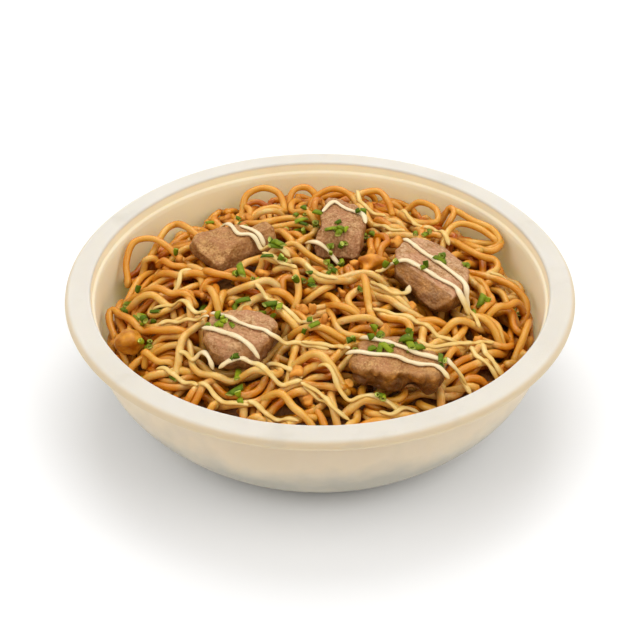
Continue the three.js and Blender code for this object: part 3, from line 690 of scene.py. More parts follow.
def spline(points, step):
    """A smooth path through points in millimetres: cubic pieces whose slopes are half the step
    between each point's neighbours."""
    p = np.asarray(points, float) * mm
    slope = np.gradient(p, axis=0)
    t = np.linspace(0, 1, 24, endpoint=False)[:, None]
    pieces = [
        (2 * t ** 3 - 3 * t ** 2 + 1) * a + (t ** 3 - 2 * t ** 2 + t) * u
        + (3 * t ** 2 - 2 * t ** 3) * b + (t ** 3 - t ** 2) * v
        for a, b, u, v in zip(p[:-1], p[1:], slope[:-1], slope[1:])
    ]
    return resample(np.vstack(pieces + [p[-1:]]), step)


for points in uppermost:
    plan = smooth(spline(points, 1.0 * mm), 7)
    lay_noodle(plan, rng.uniform(0.0, 0.6), noodle_radius, rng.choice([0.0, 2.0]) * mm,
               topmost_play)
for points in standing:
    path = spline(points, noodle_step)
    bury(path, noodle_radius)
    noodles.append((path, rng.uniform(0.25, 0.7), noodle_radius * rng.uniform(0.92, 1.05)))


def lattice_noise(points, size, seed):
    """Smooth noise from -1 to 1: random numbers at the corners of cubes of a size, blended by
    the cubic 3t^2 - 2t^3 along each axis."""
    numbers = np.random.default_rng(seed).uniform(-1, 1, (32, 32, 32))
    scaled = points / size
    low = np.floor(scaled).astype(int)
    t = scaled - low
    t = t * t * (3 - 2 * t)
    total = 0.0
    for corner in np.ndindex(2, 2, 2):
        at = (low + corner) % 32
        weight = np.prod(np.where(corner, t, 1 - t), axis=-1)
        total = total + weight * numbers[at[..., 0], at[..., 1], at[..., 2]]
    return total


def tube(path, radii, sides, flat=1.0, up=None):
    """A closed round strand: at each point of the path a ring of the point's radius, flattened
    along its own up direction, and a rounded cap at each end. Without an up direction, the rings
    turn about the normal of the plane that fits the path best."""
    if up is None:
        up = np.linalg.svd(path - path.mean(axis=0), full_matrices=False)[2][2]
    along = unit_steps(path)
    across = np.cross(along, np.asarray(up, float))
    across /= np.maximum(np.linalg.norm(across, axis=1), 1e-9)[:, None]
    upward = np.cross(across, along)
    turn = full_turn(sides)[None, :, None]
    ring = np.cos(turn) * across[:, None] + flat * np.sin(turn) * upward[:, None]
    rings = path[:, None] + radii[:, None, None] * ring
    caps, poles = [], []
    for end, way in ((0, -1), (-1, 1)):
        outwards = way * radii[end] * along[end]
        caps.append([path[end] + 0.6 * outwards + 0.72 * radii[end] * ring[end]])
        poles.append(path[end] + 0.85 * outwards)
    points, faces = close_rings(np.concatenate([caps[0], rings, caps[1]]), *poles)
    return points, faces[:, ::-1]


def join(parts):
    """Several meshes as one: points stacked, corners counted on."""
    starts = np.cumsum([0] + [len(points) for points, _ in parts[:-1]])
    faces = np.vstack([part + start for (_, part), start in zip(parts, starts)])
    return np.vstack([points for points, _ in parts]), faces


def remap(tree, value, start, end, low, high):
    """A value between a start and an end carried over to between a low and a high."""
    return add_node(tree, "MapRange", {
        "Value": value, "From Min": start, "From Max": end, "To Min": low,
        "To Max": high}).outputs["Result"]


def noodle_material():
    """Wheat noodle with a thin sauce: its tint and soft patches choose a place on a ramp from
    pale gold through orange to brown. Painted shade makes it redder at the edges that turn away
    from the view and under its neighbours. It is pale where mayonnaise has smeared it, and painted
    shade makes it dark brown where it lies deep, where its shine is also lowered to dim its
    reflections."""
    material, tree, shader = shader_material("noodle")
    patches = place_uneven(tree, (1, 1, 1), (0, 0, 0), 130.0, 1300.0, 2.0, 0.5)
    shift = maths(tree, "MULTIPLY", patches["Patches"], 0.36)
    ramp = add_node(tree, "ValToRGB", {
        "Fac": maths(tree, "MULTIPLY_ADD", attribute(tree, "tint"), 0.62, shift)})
    stops = ramp.color_ramp.elements
    stops[0].position, stops[0].color = 0.02, (0.69, 0.505, 0.195, 1)
    stops[1].position, stops[1].color = 0.95, (0.45, 0.14, 0.004, 1)
    stops.new(0.31).color = (0.70, 0.37, 0.048, 1)
    stops.new(0.66).color = (0.64, 0.245, 0.006, 1)
    # Painted shade: redder at the edges that turn away from the view and under the neighbours.
    rim = add_node(tree, "LayerWeight", {"Blend": 0.25}).outputs["Facing"]
    sauce_and_shade = maths(tree, "MAXIMUM", rim, attribute(tree, "under"))
    edge_shaded = blend(tree, sauce_and_shade, ramp.outputs["Color"], (0.88, 0.50, 0.13), "MULTIPLY")
    broken = maths(tree, "MULTIPLY", attribute(tree, "smeared"), patches["Patches"])
    coated = blend(tree, broken, edge_shaded, (0.80, 0.56, 0.18))
    # Painted shade: dark brown, with less shine, where the noodle lies deep.
    deep = attribute(tree, "deep")
    feed(shader, {
        "Base Color": blend(tree, deep, coated, (0.44, 0.165, 0.003)), "Roughness": 0.24,
        "Specular IOR Level": remap(tree, deep, 0.0, 1.0, 0.68, 0.08),
        "Specular Tint": (1.0, 0.90, 0.66), **glow_through(0.45, (1.0, 0.45, 0.12), 0.002),
        "Normal": bump(tree, patches["Height"], 0.5, 0.0005)})
    return material


def local_mean(heights, span):
    """The relief map averaged over a square of cells about each cell."""
    padded = np.pad(heights, span, mode="edge")
    total = np.cumsum(np.cumsum(np.pad(padded, ((1, 0), (1, 0))), axis=0), axis=1)
    size = 2 * span + 1
    return (total[size:, size:] - total[:-size, size:] - total[size:, :-size]
            + total[:-size, :-size]) / size ** 2


noodle_skin = noodle_material()
noodle_pieces = []
heap_surface = local_mean(relief, 3)
for share in range(noodle_share):
    parts, tints = [], []
    for number, (path, tint, radius) in enumerate(noodles[share::noodle_share]):
        swell = 1 + 0.09 * lattice_noise(path, 6 * mm, number)
        swell += 0.05 * lattice_noise(path, 2.2 * mm, number)
        parts.append(tube(path, radius * swell, noodle_sides))
        tints.append(np.full(len(parts[-1][0]), tint))
    points, faces = join(parts)
    # deep and under mark where painted shade goes on the noodles.
    depth = heap_height(*points.T[:2]) - points[:, 2]
    under = heap_surface[cell_of(points)] - points[:, 2]
    piece = add_piece(f"noodles_{share + 1}", points, faces, noodle_skin,
                      tint=np.concatenate(tints), deep=fade(depth, 2.5 * mm, 9 * mm),
                      under=fade(under, 0.5 * mm, 3 * mm))
    settle(piece, "noodles")
    noodle_pieces.append((piece, points, under))


def bed_material():
    """The mass of noodles and sauce that shows between the upper noodles: its dark brown is partly
    the sauce and partly painted shade for the deep of the heap.
    """
    material, tree, shader = shader_material("noodle_bed")
    # Dark brown: partly sauce, partly painted shade deep in the heap.
    sauce_and_shade = place_uneven(tree, (0.36, 0.14, 0.02), (0.14, 0.045, 0.006), 300.0, 900.0, 2.5)
    feed(shader, {"Base Color": sauce_and_shade["Color"], "Roughness": 0.5,
                  "Normal": bump(tree, sauce_and_shade["Patches"], 0.8, 0.001)})
    return material


def bed_surface():
    """The core of the heap: rings that follow the bowl's wall up from the floor, then a dome
    of rings below the noodles."""
    floor = foot_recess + wall + wall_gap
    turn = full_turn(bed_sides)
    edge_radius = float(inner_radius(side_height)) - wall_gap
    edge = heap_height(*around_axis(edge_radius, turn, 0.0).T[:2]) - bed_drop
    rings = []
    for level in np.linspace(0.12, 1, 14):
        z = floor + (edge - floor) * level
        radius = inner_radius(np.maximum(z, 0.005)) - 0.5 * mm
        rings.append(around_axis(radius, turn, z))
    rim = np.hypot(rings[-1][:, 0], rings[-1][:, 1])
    for share in np.linspace(0.985, 0.03, 34):
        ring = around_axis(share * rim, turn, 0.0)
        ring[:, 2] = heap_height(*ring.T[:2]) - bed_drop
        rings.append(ring)
    return close_rings(np.array(rings), (0, 0, floor), (0, 0, heap_top - bed_drop))


bed = add_piece("noodle_bed", *bed_surface(), bed_material())
settle(bed, "noodles")


# ---- Pork ------------------------------------------------------------------------------------
# Five torn pieces of fried pork, laid on the noodles: matt, pinkish brown and finely fibrous on
# top, browned and glossy on the torn sides.

meat_around = 264                        # points round each ring of a piece
meat_edge = 1.5 * mm                     # radius of its upper edge
outline_step = 0.1 * mm


def even_outline(outline, count, rounding):
    """Points evenly spread round a closed outline, turning left, with corners softened by a
    running mean over a length."""
    ring = resample(np.array(outline + outline[:1], float) * mm, outline_step)[:-1]
    width = int(rounding / outline_step) | 1
    ring = smooth(np.vstack([ring[-width:], ring, ring[:width]]), width)[width:-width]
    following = np.roll(ring, -1, axis=0)
    if np.sum(ring[:, 0] * following[:, 1] - following[:, 0] * ring[:, 1]) < 0:
        ring = ring[::-1]
    pick = np.linspace(0, len(ring), count, endpoint=False)
    return np.column_stack([np.interp(pick, np.arange(len(ring)), values) for values in ring.T])


def surface_normals(points):
    """Unit normals of a grid of points that is closed from its last column to its first."""
    up = np.gradient(points, axis=0)
    right = np.roll(points, -1, axis=1) - np.roll(points, 1, axis=1)
    normal = np.cross(right, up)
    return normal / np.maximum(np.linalg.norm(normal, axis=-1), 1e-12)[..., None]


def soften(points, times):
    """Averages a grid of points, closed from its last column to its first, with its neighbours in
    parts of 1, 2 and 1, along both its ways, a number of times."""
    for _ in range(times):
        points = (np.roll(points, 1, axis=1) + 2 * points + np.roll(points, -1, axis=1)) / 4
        points[1:-1] = (points[:-2] + 2 * points[1:-1] + points[2:]) / 4
    return points


def grain_frame(turn, lean):
    """Three axes as columns: along the grain of the meat, which is leaned about Y and turned
    about Z, and the two across it."""
    along = np.array([cos(lean) * cos(turn), cos(lean) * sin(turn), -sin(lean)])
    across = np.array([-sin(turn), cos(turn), 0.0])
    return np.column_stack([along, across, np.cross(along, across)])


def meat_surface(meat, look, seed):
    """A torn block: rings of the outline from the middle of its underside, up its side, round its
    upper edge and in to the middle of its top. A few flat cuts take off parts of the edge. Noise
    of several sizes, and finer noise drawn out along the grain, move it along its normal."""
    outline, _, thickness, _ = meat
    turn, lean, fibrous, _, _, rough, knobs, slopes, dents = look
    ring = even_outline(outline, meat_around, 4.0 * mm)
    middle = ring.mean(axis=0)
    height = thickness * mm
    breadth = np.linalg.norm(ring - middle, axis=1).mean()
    # each row: how far in from the outline and how far up from the underside, as shares
    rows = [(share, 0.0) for share in np.linspace(0.97, 0.06, 9)]
    rows += [(0.05 * (1 - t), t) for t in np.linspace(0.08, 0.82, 18)]
    rows += [(meat_edge / breadth * (1 - cos(a)), 1 - meat_edge / height * (1 - sin(a)))
             for a in np.radians(np.linspace(0, 90, 8))]
    rows += [(share, 1.0) for share in np.linspace(0.13, 0.97, 40)]
    shares, levels = np.array(rows).T
    plan = middle + (1 - shares)[:, None, None] * (ring - middle)
    z = meat_top(meat, plan[..., 0], plan[..., 1]) - height * (1 - levels)[:, None]
    points = np.concatenate([plan, z[..., None]], -1)
    centre = np.array([*middle, points[..., 2].mean()])
    cuts = np.random.default_rng(seed)
    for _ in range(5):
        swing = cuts.uniform(0, 2 * pi)
        rise = cuts.uniform(0.25, 1.0)
        way = np.array([cos(swing) * cos(rise), sin(swing) * cos(rise), sin(rise)])
        reach = (points - centre) @ way
        past = np.clip(reach - reach.max() + cuts.uniform(0.6, 1.9) * mm, 0, None)
        points = points - 0.85 * past[..., None] * way
    torn = np.zeros(points.shape[:2])
    for place, way, brown in slopes:
        way = np.array(way) / np.linalg.norm(way)
        past = np.clip((points - np.array(place) * mm) @ way, 0, None)
        points = points - 0.95 * past[..., None] * way
        torn = np.maximum(torn, brown * fade(past, 0, mm))
    points = soften(points, 9)
    normal = surface_normals(points)
    side = np.clip(1.3 - np.abs(normal[..., 2]) * 1.5, 0, 1)

    def noise_of(size, number):
        """Noise of a size in millimetres at the points where they are by now."""
        return lattice_noise(points, size * mm, seed + number)

    push = (0.80 + 0.45 * side) * rough * mm * noise_of(7.5, 0)
    push += (0.34 + 0.30 * side) * rough * mm * noise_of(2.8, 1)
    push += (0.16 + 0.08 * side) * mm * noise_of(0.9, 2)
    bulge = np.abs(noise_of(5.5, 4))
    push += knobs * side * mm * (bulge + 0.14 * noise_of(1.7, 6))
    strands = (points @ grain_frame(turn, lean)) / np.array([6.0, 1.15, 1.15])
    push += (0.24 + 0.25 * side) * fibrous * mm * lattice_noise(strands, mm, seed + 5)
    for place, depth, width in dents:
        away = np.linalg.norm(points - np.array(place) * mm, axis=-1)
        push -= depth * mm * np.exp(-(away / (width * mm)) ** 2)
    points = points + push[..., None] * normal
    browned = np.maximum(np.clip(side + 0.5 * noise_of(5, 3), 0, 1), torn)
    fallen = (meat_top(meat, points[..., 0], points[..., 1]) - points[..., 2]) / height
    # lower places painted shade: towards the lower edge of the side and in the creases between the
    # knobs.
    lower = side * np.clip(1.5 * fallen - 0.15 + knobs / 4 * (0.5 - 1.6 * bulge), 0, 1)
    values = {"browned": np.append(browned, [0.5, 0.1]), "lower": np.append(lower, [1.0, 0.0])}
    low_pole, high_pole = ((*middle, points[row, :, 2].mean()) for row in (0, -1))
    return *close_rings(points, low_pole, high_pole), values


def fibres(tree, turn, lean):
    """Noise drawn out along the grain of the meat, which is turned about Z and leaned."""
    along = add_node(tree, "Mapping", {
        "Vector": add_node(tree, "TexCoord", {}).outputs["Object"],
        "Rotation": (0, lean, turn), "Scale": (1 / 170, 1 / 900, 1 / 900)}, vector_type="TEXTURE")
    return noise(tree, along.outputs["Vector"], 1.0, 5.0)


def pork_material(name, turn, lean, fibrous, sear, pale):
    """Fried pork: pinkish brown with pale flecks and fine fibres on top, browned and shiny on its
    side, and painted shade makes it darkest at the side's lower edge and in the creases between
    its knobs."""
    material, tree, shader = shader_material(name)
    light = 0.54 + 0.10 * pale, 0.275 + 0.125 * pale, 0.082 + 0.138 * pale
    dark = 0.24 + 0.10 * pale, 0.085 + 0.070 * pale, 0.012 + 0.036 * pale
    red = 0.39 + 0.13 * pale, 0.155 + 0.085 * pale, 0.055 + 0.075 * pale
    fat = 0.70 + 0.08 * pale, 0.42 + 0.10 * pale, 0.17 + 0.12 * pale
    flesh = place_uneven(tree, light, dark, 330.0, 1000.0, 2.8, 2.8)
    blush = place_uneven(tree, (0.7, 0.7, 0.7), (0, 0, 0), 150.0, 600.0, 4.5, 1.2)
    side = place_uneven(tree, (0.50, 0.205, 0.030), (0.15, 0.045, 0.004), 220.0, 1300.0, 2.6, 1.0)
    grain = fibres(tree, turn, lean)
    browned = maths(tree, "MULTIPLY", attribute(tree, "browned"), sear)
    # Painted shade: near black towards the side's lower edge and in the creases.
    lower_shade = maths(tree, "MULTIPLY", attribute(tree, "lower"), 0.95 * sear)
    fleck = remap(tree, side["Height"], 0.57, 0.68, 0.0, 0.6)
    streak = remap(tree, grain, 0.45, 0.68, 0.0, 0.10 + 0.65 * fibrous)
    top = blend(tree, blush["Color"], flesh["Color"], red)
    mixed = blend(tree, browned, blend(tree, fleck, top, fat), side["Color"])
    streaked = blend(tree, streak, mixed, (0.24, 0.08, 0.015))
    height = maths(tree, "MULTIPLY_ADD", grain, fibrous, flesh["Height"])
    feed(shader, {
        "Base Color": blend(tree, lower_shade, streaked, (0.10, 0.027, 0.003)),
        "Roughness": remap(tree, browned, 0.0, 1.0, 0.60, 0.34),
        "Specular Tint": (1.0, 0.86, 0.62), **glow_through(0.08, (1.0, 0.4, 0.25), 0.001),
        "Normal": bump(tree, height, 0.8, 0.0007)})
    return material


# Each piece's grain (turn about Z, lean about Y, and how much it shows), how far its side is
# browned, how pale its top is, how rough it is, how far its side bulges in knobs, its sloped faces
# (a place on each, the way it faces and how browned it is) and its dents (place, depth and width),
# in millimetres.
pork_look = {
    "pork_back_left": (
        0.4, 0.0, 0.3, 0.45, 0.1, 1.0, 0.0,
        [((-47, 24, 59), (-0.1, -0.5, 0.87), 0.0), ((-30, 27, 58), (0.5, -0.7, 0.5), 0.9)],
        [((-33, 38, 60), 2.2, 3.0), ((-33, 17, 54), 2.5, 4.0)]),
    "pork_back": (
        0.0, pi / 2, 1.0, 0.5, 0.5, 0.9, 0.3,
        [((6, 31, 60), (-0.1, -0.75, 0.66), 0.2), ((0, 40, 60), (-0.8, 0.0, 0.5), 0.3)], []),
    "pork_back_right": (
        -0.9, 0.0, 0.6, 1.0, 1.0, 0.7, 0.0, [((48, -6, 57.3), (-0.50, -0.60, 0.62), 0.75)], []),
    "pork_front_left": (
        -0.5, 0.2, 0.5, 0.85, 0.6, 1.1, 0.6,
        [((-33, -49, 57), (0.1, -0.75, 0.66), 0.35), ((-46, -38, 57), (-0.8, -0.1, 0.6), 0.3)],
        [((-44, -50, 56), 2.0, 4.0)]),
    "pork_front_right": (
        -0.2, 0.0, 0.3, 1.0, 0.15, 1.3, 3.0, [], [((36, -68, 48), 5.0, 3.6), ((22, -66, 50), 2.5, 3)]),
}


def bury_surface(points):
    """Raises the relief map to the points of a dense surface that lie over each cell."""
    np.maximum.at(relief, cell_of(points), points[:, 2])


for number, (name, meat) in enumerate(pork.items()):
    look = pork_look[name]
    points, faces, values = meat_surface(meat, look, 40 + 7 * number)
    piece = add_piece(f"{name}_meat", points, faces, pork_material(name, *look[:5]), **values)
    settle(piece, name)
    bury_surface(points)


# ---- Vegetable lumps -------------------------------------------------------------------------
# A lump of cooked carrot beside the middle of the heap, and a rounded lump of fried onion low at
# the left. Both are soft, uneven and glossy.

lumps = {
    # name: middle, radii along X, Y and Z in millimetres, turn about Z, unevenness, light and dark
    "carrot": (carrot_middle, (6.0, 4.4, 4.2), 0.5, 0.5, (0.74, 0.28, 0.015), (0.40, 0.11, 0.003)),
    "onion": (onion_middle, (6.2, 5.2, 4.8), 0.4, 0.3, (0.72, 0.32, 0.025), (0.38, 0.11, 0.003)),
}


def turned(points, lean, spin):
    """Points turned about Y by a lean, then about Z by a spin."""
    x = points[:, 0] * cos(lean) + points[:, 2] * sin(lean)
    z = -points[:, 0] * sin(lean) + points[:, 2] * cos(lean)
    return np.column_stack([
        x * cos(spin) - points[:, 1] * sin(spin), x * sin(spin) + points[:, 1] * cos(spin), z])


def lump_surface(middle, radii, turn, uneven_by, seed, rows, around):
    """An uneven ellipsoid: a unit sphere swelled by noise, stretched, turned and placed."""
    polar = pi * (np.arange(rows)[:, None] + 0.5) / rows
    rings = around_axis(np.sin(polar), full_turn(around), -np.cos(polar))
    ball, faces = close_rings(rings, (0, 0, -1), (0, 0, 1))
    swell = lattice_noise(ball, 0.8, seed) + 0.3 * lattice_noise(ball, 0.4, seed + 1)
    ball = ball * (1 + uneven_by * swell)[:, None] * np.array(radii) * mm
    return turned(ball, 0.0, turn) + np.array(middle) * mm, faces


def vegetable_material(name, light, dark, roughness=0.3):
    """Soft cooked vegetable with browned patches and an oily shine."""
    material, tree, shader = shader_material(name)
    flesh = place_uneven(tree, light, dark, 240.0, 1500.0, 2.6)
    feed(shader, {
        "Base Color": flesh["Color"], "Roughness": roughness,
        "Specular Tint": (1.0, 0.86, 0.58), **glow_through(0.15, (1.0, 0.4, 0.1), 0.001),
        "Normal": bump(tree, flesh["Height"], 0.4, 0.0004)})
    return material


for number, (name, (middle, radii, turn, rough, light, dark)) in enumerate(lumps.items()):
    points, faces = lump_surface(middle, radii, turn, rough, 90 + number, 60, 90)
    piece = add_piece(f"{name}_lump", points, faces, vegetable_material(name, light, dark))
    settle(piece, name)
    bury_surface(points)


# ---- Mayonnaise ------------------------------------------------------------------------------
# Lines squeezed from a bottle with a 2 mm nozzle. They run over the pork and the noodles, sag a
# little between them, and are flattened where they lie.

mayo_radius = 1.05 * mm
mayo_bend = 3.5 * mm                     # the tightest curve a line takes over a bump
mayo_step = 0.7 * mm
mayo_sides = 10
mayo_flatness = 0.58                     # height of a line for its width
smear_reach = 3.2 * mm                   # how far beside a line the noodles are pale with it

# Each line's turns, seen from above, in millimetres.
mayo_lines = [
    [(-53, 36), (-47, 41), (-41, 36), (-37, 28), (-31, 28), (-26, 22), (-20, 18), (-13, 13)],
    [(-37, 35), (-31, 32), (-27, 28), (-25, 24)],
    [(-26, 14), (-20, 11), (-14, 6), (-10, 1)],
    [(-28, -9), (-22, -15), (-18, -21), (-7, -32), (-2, -36)],
    [(-78, 10), (-71, 8), (-66, 0), (-62, 2), (-61, 9), (-56, 10)],
    [(-46, -28), (-37, -33), (-30, -39), (-23, -41), (-20, -44), (-13, -45), (4, -47)],
    [(-49, -37), (-43, -40), (-38, -43), (-32, -47), (-28, -51), (-24, -55)],
    [(-58, -46), (-55, -45), (-52, -48), (-49, -46), (-46, -49), (-43, -55)],
    [(-41, -57), (-33, -54), (-26, -57), (-17, -65), (-7, -63)],
    [(-22, -50), (-17, -53), (-11, -57), (-7, -62)],
    [(-7, -65), (-3, -68), (2, -71), (5, -76)],
    [(-49, -60), (-45, -62), (-38, -69), (-28, -72)],
    [(-29, -70), (-25, -71), (-19, -76), (-8, -80)],
    [(-69, -24), (-65, -23), (-59, -25), (-50, -27), (-46, -30)],
    [(-73, -10), (-63, -13), (-57, -18), (-54, -23), (-47, -28)],
    [(-68, -46), (-64, -47), (-60, -52), (-52, -57), (-49, -60)],
    [(1, 46), (6, 56), (10, 53), (15, 49), (20, 45), (21, 38)],
    [(18, 80), (20, 70), (25, 64), (32, 63)],
    [(-7, 30), (-2, 27), (4, 24), (9, 19)],
    [(25, 54), (31, 47), (39, 36)],
    [(37, 24), (43, 18), (52, 8), (60, -1), (63, -7), (63, -13), (66, -18), (68, -24)],
    [(24, 4), (30, 7), (34, 6), (39, 6), (49, -2), (58, -9), (60, -14), (64, -19)],
    [(40, 72), (44, 60), (48, 52), (55, 49), (60, 37)],
    [(22, 1), (28, -8), (32, -12), (37, -9), (39, -3)],
    [(22, -22), (36, -25), (45, -31), (51, -35), (63, -34)],
    [(40, -37), (46, -42), (57, -37), (74, -28)],
    [(63, -35), (65, -42), (74, -50)],
    [(68, -32), (69, -38), (71, -43), (75, -49)],
    [(16, -45), (21, -48), (27, -50), (38, -55), (50, -60)],
    [(10, -54), (17, -56), (29, -58), (37, -61), (46, -63), (51, -68)],
    [(49, -56), (54, -56), (58, -57), (61, -62)],
    [(50, -58), (52, -62), (59, -62)],
    [(-8, -46), (7, -46), (12, -53)],
    [(-1, -58), (4, -62), (10, -71), (20, -70), (32, -74)],
    [(-8, -65), (1, -69), (5, -76), (12, -78)],
    [(23, -75), (29, -76), (34, -72), (40, -71)],
    [(77, 20), (84, 20), (88, 17)],
    [(-7, 8), (-3, 2), (2, -5), (8, -6)],
]


def mayo_material():
    """Pale cream mayonnaise: smooth, softly glossy and a little see-through, and thinner, with
    the sauce showing, away from the pork."""
    material, tree, shader = shader_material("mayonnaise")
    cream = place_uneven(tree, (0.78, 0.65, 0.42), (0.72, 0.56, 0.30), 90.0, 900.0, 1.6)
    thin = place_uneven(tree, (0.75, 0.56, 0.205), (0.70, 0.425, 0.09), 200.0, 900.0, 3.0)
    feed(shader, {
        "Base Color": blend(tree, attribute(tree, "thin"), cream["Color"], thin["Color"]),
        "Roughness": 0.3, **glow_through(0.2, (1.0, 0.8, 0.5), 0.001),
        "Normal": bump(tree, cream["Height"], 0.1, 0.0003)})
    return material


smear = np.zeros_like(relief)            # how much of the sauce has spread over each cell
smear_marks = footprint(smear_reach)
mayo_parts, thinness = [], []
for points in mayo_lines:
    plan = smooth(spline(points, mayo_step), 5)
    reaches = [outline_distance(meat[0], plan[:, 0], plan[:, 1]) for meat in pork.values()]
    to_meat = np.min(reaches, axis=0)
    off_meat = fade(to_meat, 0, 5 * mm)
    size = mayo_radius * (1.05 if to_meat.min() < 0 else 0.95)
    # a line sinks in by 0.4 mm on the pork and by 0.65 mm away from it
    z = drape(plan, size, mayo_bend) - (0.4 + 0.25 * off_meat) * mm
    path = smooth(np.column_stack([plan, z]), 5)
    bury(path, 0.8 * size)
    np.maximum.at(smear, cells_under(plan, smear_marks), smear_marks[2] / smear_reach)
    width = size * (1 + 0.34 * lattice_noise(path, 3 * mm, 5) + 0.1 * off_meat)
    to_end = np.minimum(np.arange(len(path)), np.arange(len(path))[::-1])
    width *= np.clip(0.5 + 0.2 * to_end, 0, 1)
    points, faces = tube(path, width, mayo_sides, mayo_flatness, (0, 0, 1))
    away = np.hypot(points[:, :1] - plan[None, :, 0], points[:, 1:2] - plan[None, :, 1])
    mayo_parts.append((points, faces))
    thinness.append(fade(to_meat[np.argmin(away, axis=1)], 0, 6 * mm))
mayo = add_piece("mayonnaise_lines", *join(mayo_parts), mayo_material(),
                 thin=np.concatenate(thinness))
settle(mayo, "noodles")

for piece, points, under in noodle_pieces:
    set_values(piece, smeared=smear[cell_of(points)] * np.clip(1.2 - under / (2.0 * mm), 0, 1))


# ---- Chives ----------------------------------------------------------------------------------
# Fresh chives cut into short rings and lengths, scattered in loose clusters over the dish.

chive_sides = 14
long_share = 0.32                        # share of the chives cut as lengths, not as rings
chive_clusters = [
    # middle, spread and number, in millimetres
    ((-45, 58), 9, 4), ((-37, 48), 5, 4), ((-66, 29), 2, 2), ((-37, 2), 4, 3),
    ((-18, 12), 8, 8), ((-29, -2), 5, 4), ((-5, -6), 7, 6), ((-35, -15), 5, 3), ((-52, -14), 4, 2),
    ((-21, -22), 6, 7), ((-6, -36), 5, 4), ((-42, -36), 6, 8), ((-84, -1), 5, 5),
    ((-74, -13), 6, 8), ((-73, -33), 4, 4), ((-76, -46), 3, 2), ((-11, 53), 9, 12),
    ((-3, 45), 6, 7), ((20, 49), 5, 4), ((22, 40), 4, 2), ((8, 31), 7, 11), ((9, 17), 7, 8),
    ((5, 5), 7, 6), ((43, 36), 4, 2), ((29, 6), 5, 4), ((54, 12), 3, 4), ((46, 3), 3, 3),
    ((64, 8), 2, 2), ((70, -8), 5, 4), ((85, 0), 6, 3), ((22, -35), 4, 2), ((36, -35), 5, 2),
    ((14, -43), 5, 4), ((24, -47), 4, 4), ((35, -47), 4, 3), ((43, -48), 4, 2), ((24, -55), 5, 4),
    ((38, -54), 4, 3), ((48, -60), 3, 3), ((24, -72), 2.5, 4), ((4, -80), 4, 1), ((-34, -67), 5, 3),
    ((-34, -55), 3, 3), ((16, -12), 8, 1), ((-20, 30), 8, 2), ((-60, -60), 8, 1), ((50, 45), 8, 2),
]


def chive_ring(length, radius, squash, slant, bend):
    """A piece of hollow stalk along X: an outer and an inner tube joined at both ends, flattened,
    cut at a slant and bent downwards. Also says which of its points lie inside."""
    half = length / 2
    outline = [(-half, 0.97), (-half / 2, 1.0), (0, 1.02), (half / 2, 1.0), (half, 0.97),
               (half, 0.68), (0, 0.66), (-half, 0.68)]
    x, r = np.array(outline).T
    turn = full_turn(chive_sides)
    y = radius * r[:, None] * np.cos(turn)
    z = squash * radius * r[:, None] * np.sin(turn)
    x = x[:, None] + slant * y * x[:, None] / half
    z = z - bend * x ** 2 / length
    faces = grid_faces(len(outline) + 1, chive_sides, True) % (len(outline) * chive_sides)
    return np.stack([x, y, z], -1).reshape(-1, 3), faces, np.repeat(r < 0.8, chive_sides)


def chive_material():
    """Fresh green chive: each piece has its own shade, darker in patches, with a satin skin and
    a pale inside, painted light for the light that comes through the thin stalk into its hollow."""
    material, tree, shader = shader_material("chive")
    bright = place_uneven(tree, (0.40, 0.43, 0.018), (0.16, 0.24, 0.005), 500.0, 2500.0, 2.0)
    dark = place_uneven(tree, (0.085, 0.15, 0.002), (0.020, 0.052, 0.001), 500.0, 2500.0, 2.0)
    skin = blend(tree, attribute(tree, "tint"), bright["Color"], dark["Color"])
    feed(shader, {
        # The pale inside is painted light.
        "Base Color": blend(tree, attribute(tree, "hollow"), skin, (0.60, 0.64, 0.14)),
        "Roughness": 0.42, "Specular IOR Level": 0.22, "Specular Tint": (1.0, 1.0, 0.4),
        **glow_through(0.1, (0.4, 0.6, 0.05), 0.0006),
        "Normal": bump(tree, bright["Height"], 0.3, 0.0002)})
    return material


chive_parts, chive_tints, chive_hollows = [], [], []
for middle, spread, count in chive_clusters:
    for _ in range(count):
        turn = rng.uniform(0, 2 * pi)
        out = spread * rng.random()
        place = (np.array(middle) + out * np.array([cos(turn), sin(turn)])) * mm
        radius = rng.uniform(0.95, 1.6) * mm
        long_one = rng.random() < long_share
        length = rng.uniform(3.6, 7.0) * mm if long_one else rng.uniform(1.6, 3.0) * mm
        squash = rng.uniform(0.35, 0.7) if long_one else rng.uniform(0.6, 1.0)
        points, faces, hollow = chive_ring(length, radius, squash, rng.uniform(-0.7, 0.7),
                                           rng.uniform(0, 0.25))
        lean = rng.normal(0, 0.22) if long_one or rng.random() < 0.6 else rng.uniform(0.8, 1.5)
        points = turned(points, lean, rng.uniform(0, 2 * pi))
        rest = relief[cells_under(place[None], footprint(0.6 * radius))].max()
        rest = rest - 0.3 * mm - 0.75 * points[:, 2].min()
        chive_parts.append((points + np.array([*place, rest]), faces))
        chive_tints.append(np.full(len(points), rng.random() ** 0.6))
        chive_hollows.append(hollow)
        bury(np.array([[*place, rest]]), 0.7 * radius)
chives = add_piece("chives", *join(chive_parts), chive_material(),
                   tint=np.concatenate(chive_tints), hollow=np.concatenate(chive_hollows))
settle(chives, "noodles")


# ---- Crumbs ----------------------------------------------------------------------------------
# Small fried bits of onion, carrot and meat that have fallen between the noodles.

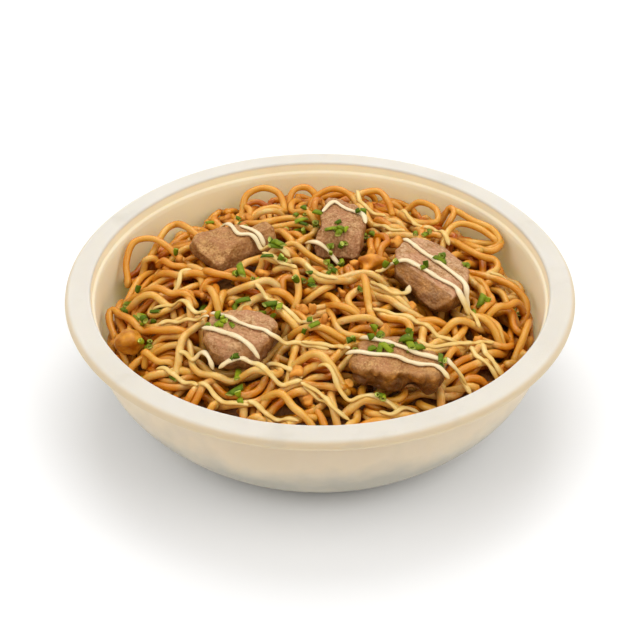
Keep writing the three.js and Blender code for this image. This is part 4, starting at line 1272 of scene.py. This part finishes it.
crumb_count = 130
crumb_rows, crumb_sides = 10, 16
crumb_reach = 0.086                      # how far from the middle of the dish they lie
room_between = np.clip(heap_height(cell_x, cell_y) - relief - 1.5 * mm, 0, 5 * mm)
room_between[(np.hypot(cell_x, cell_y) > crumb_reach) | (ceiling < 1)] = 0
running_room = np.cumsum(room_between.ravel())
crumb_parts = []
for number in range(crumb_count):
    middle = random_place(running_room) / mm
    size = rng.uniform(1.0, 2.6)
    radii = size * rng.uniform(0.7, 1.3, 3)
    crumb_parts.append(lump_surface(middle + [0, 0, 0.8 * size], radii, rng.uniform(0, pi), 0.5,
                                    200 + number, crumb_rows, crumb_sides))
crumbs = add_piece("fried_crumbs", *join(crumb_parts),
                   vegetable_material("crumb", (0.85, 0.37, 0.05), (0.45, 0.14, 0.012), 0.5))
settle(crumbs, "noodles")


# ---- Stage -----------------------------------------------------------------------------------
# A plain pale table top, an even pale surround, a wide soft light above and behind the dish, a
# weaker one at each side, and the camera.

table_size = 30.0
lit_place = Vector((0, 0, 0.04))         # where the lights point
camera_elevation = radians(36.383)
camera_distance = 0.560
camera_lens = 70.53
aim_height = 0.03319


def table_material():
    """Plain white table top with a barely visible unevenness."""
    material, tree, shader = shader_material("table_top")
    white = place_uneven(tree, (0.90, 0.90, 0.90), (0.88, 0.88, 0.88), 3.0, 40.0, 1.0)
    feed(shader, {"Base Color": white["Color"], "Roughness": 0.9})
    return material


table_points = np.array([[x, y, 0.0] for y in (-1, 1) for x in (-1, 1)]) * table_size
table = add_piece("table_top", table_points, grid_faces(2, 2, False), table_material())

scene = bpy.context.scene
surround = bpy.data.worlds.new("surround")
surround.use_nodes = True
feed(surround.node_tree.nodes["Background"], {"Color": (1.0, 1.0, 1.0), "Strength": 0.74})
scene.world = surround
scene.view_settings.view_transform = "Standard"


def soft_light(name, place, size, power):
    """A square area light that faces the dish."""
    light = bpy.data.lights.new(name, "AREA")
    light.size = size
    light.energy = power
    lamp = bpy.data.objects.new(name, light)
    lamp.location = place
    lamp.rotation_euler = (lit_place - Vector(place)).to_track_quat("-Z", "Y").to_euler()
    scene.collection.objects.link(lamp)


soft_light("overhead", (0.0, 0.42, 1.0), 0.7, 4.8)
soft_light("left_fill", (-0.75, -0.40, 0.95), 0.8, 3.2)
soft_light("right_fill", (0.75, -0.40, 0.95), 0.8, 4.2)

camera_data = bpy.data.cameras.new("camera")
camera_data.lens = camera_lens
camera_data.sensor_width = 36.0
camera = bpy.data.objects.new("camera", camera_data)
camera.location = (0, -camera_distance * cos(camera_elevation),
                   aim_height + camera_distance * sin(camera_elevation))
camera.rotation_euler = (pi / 2 - camera_elevation, 0, 0)
scene.collection.objects.link(camera)
scene.camera = camera
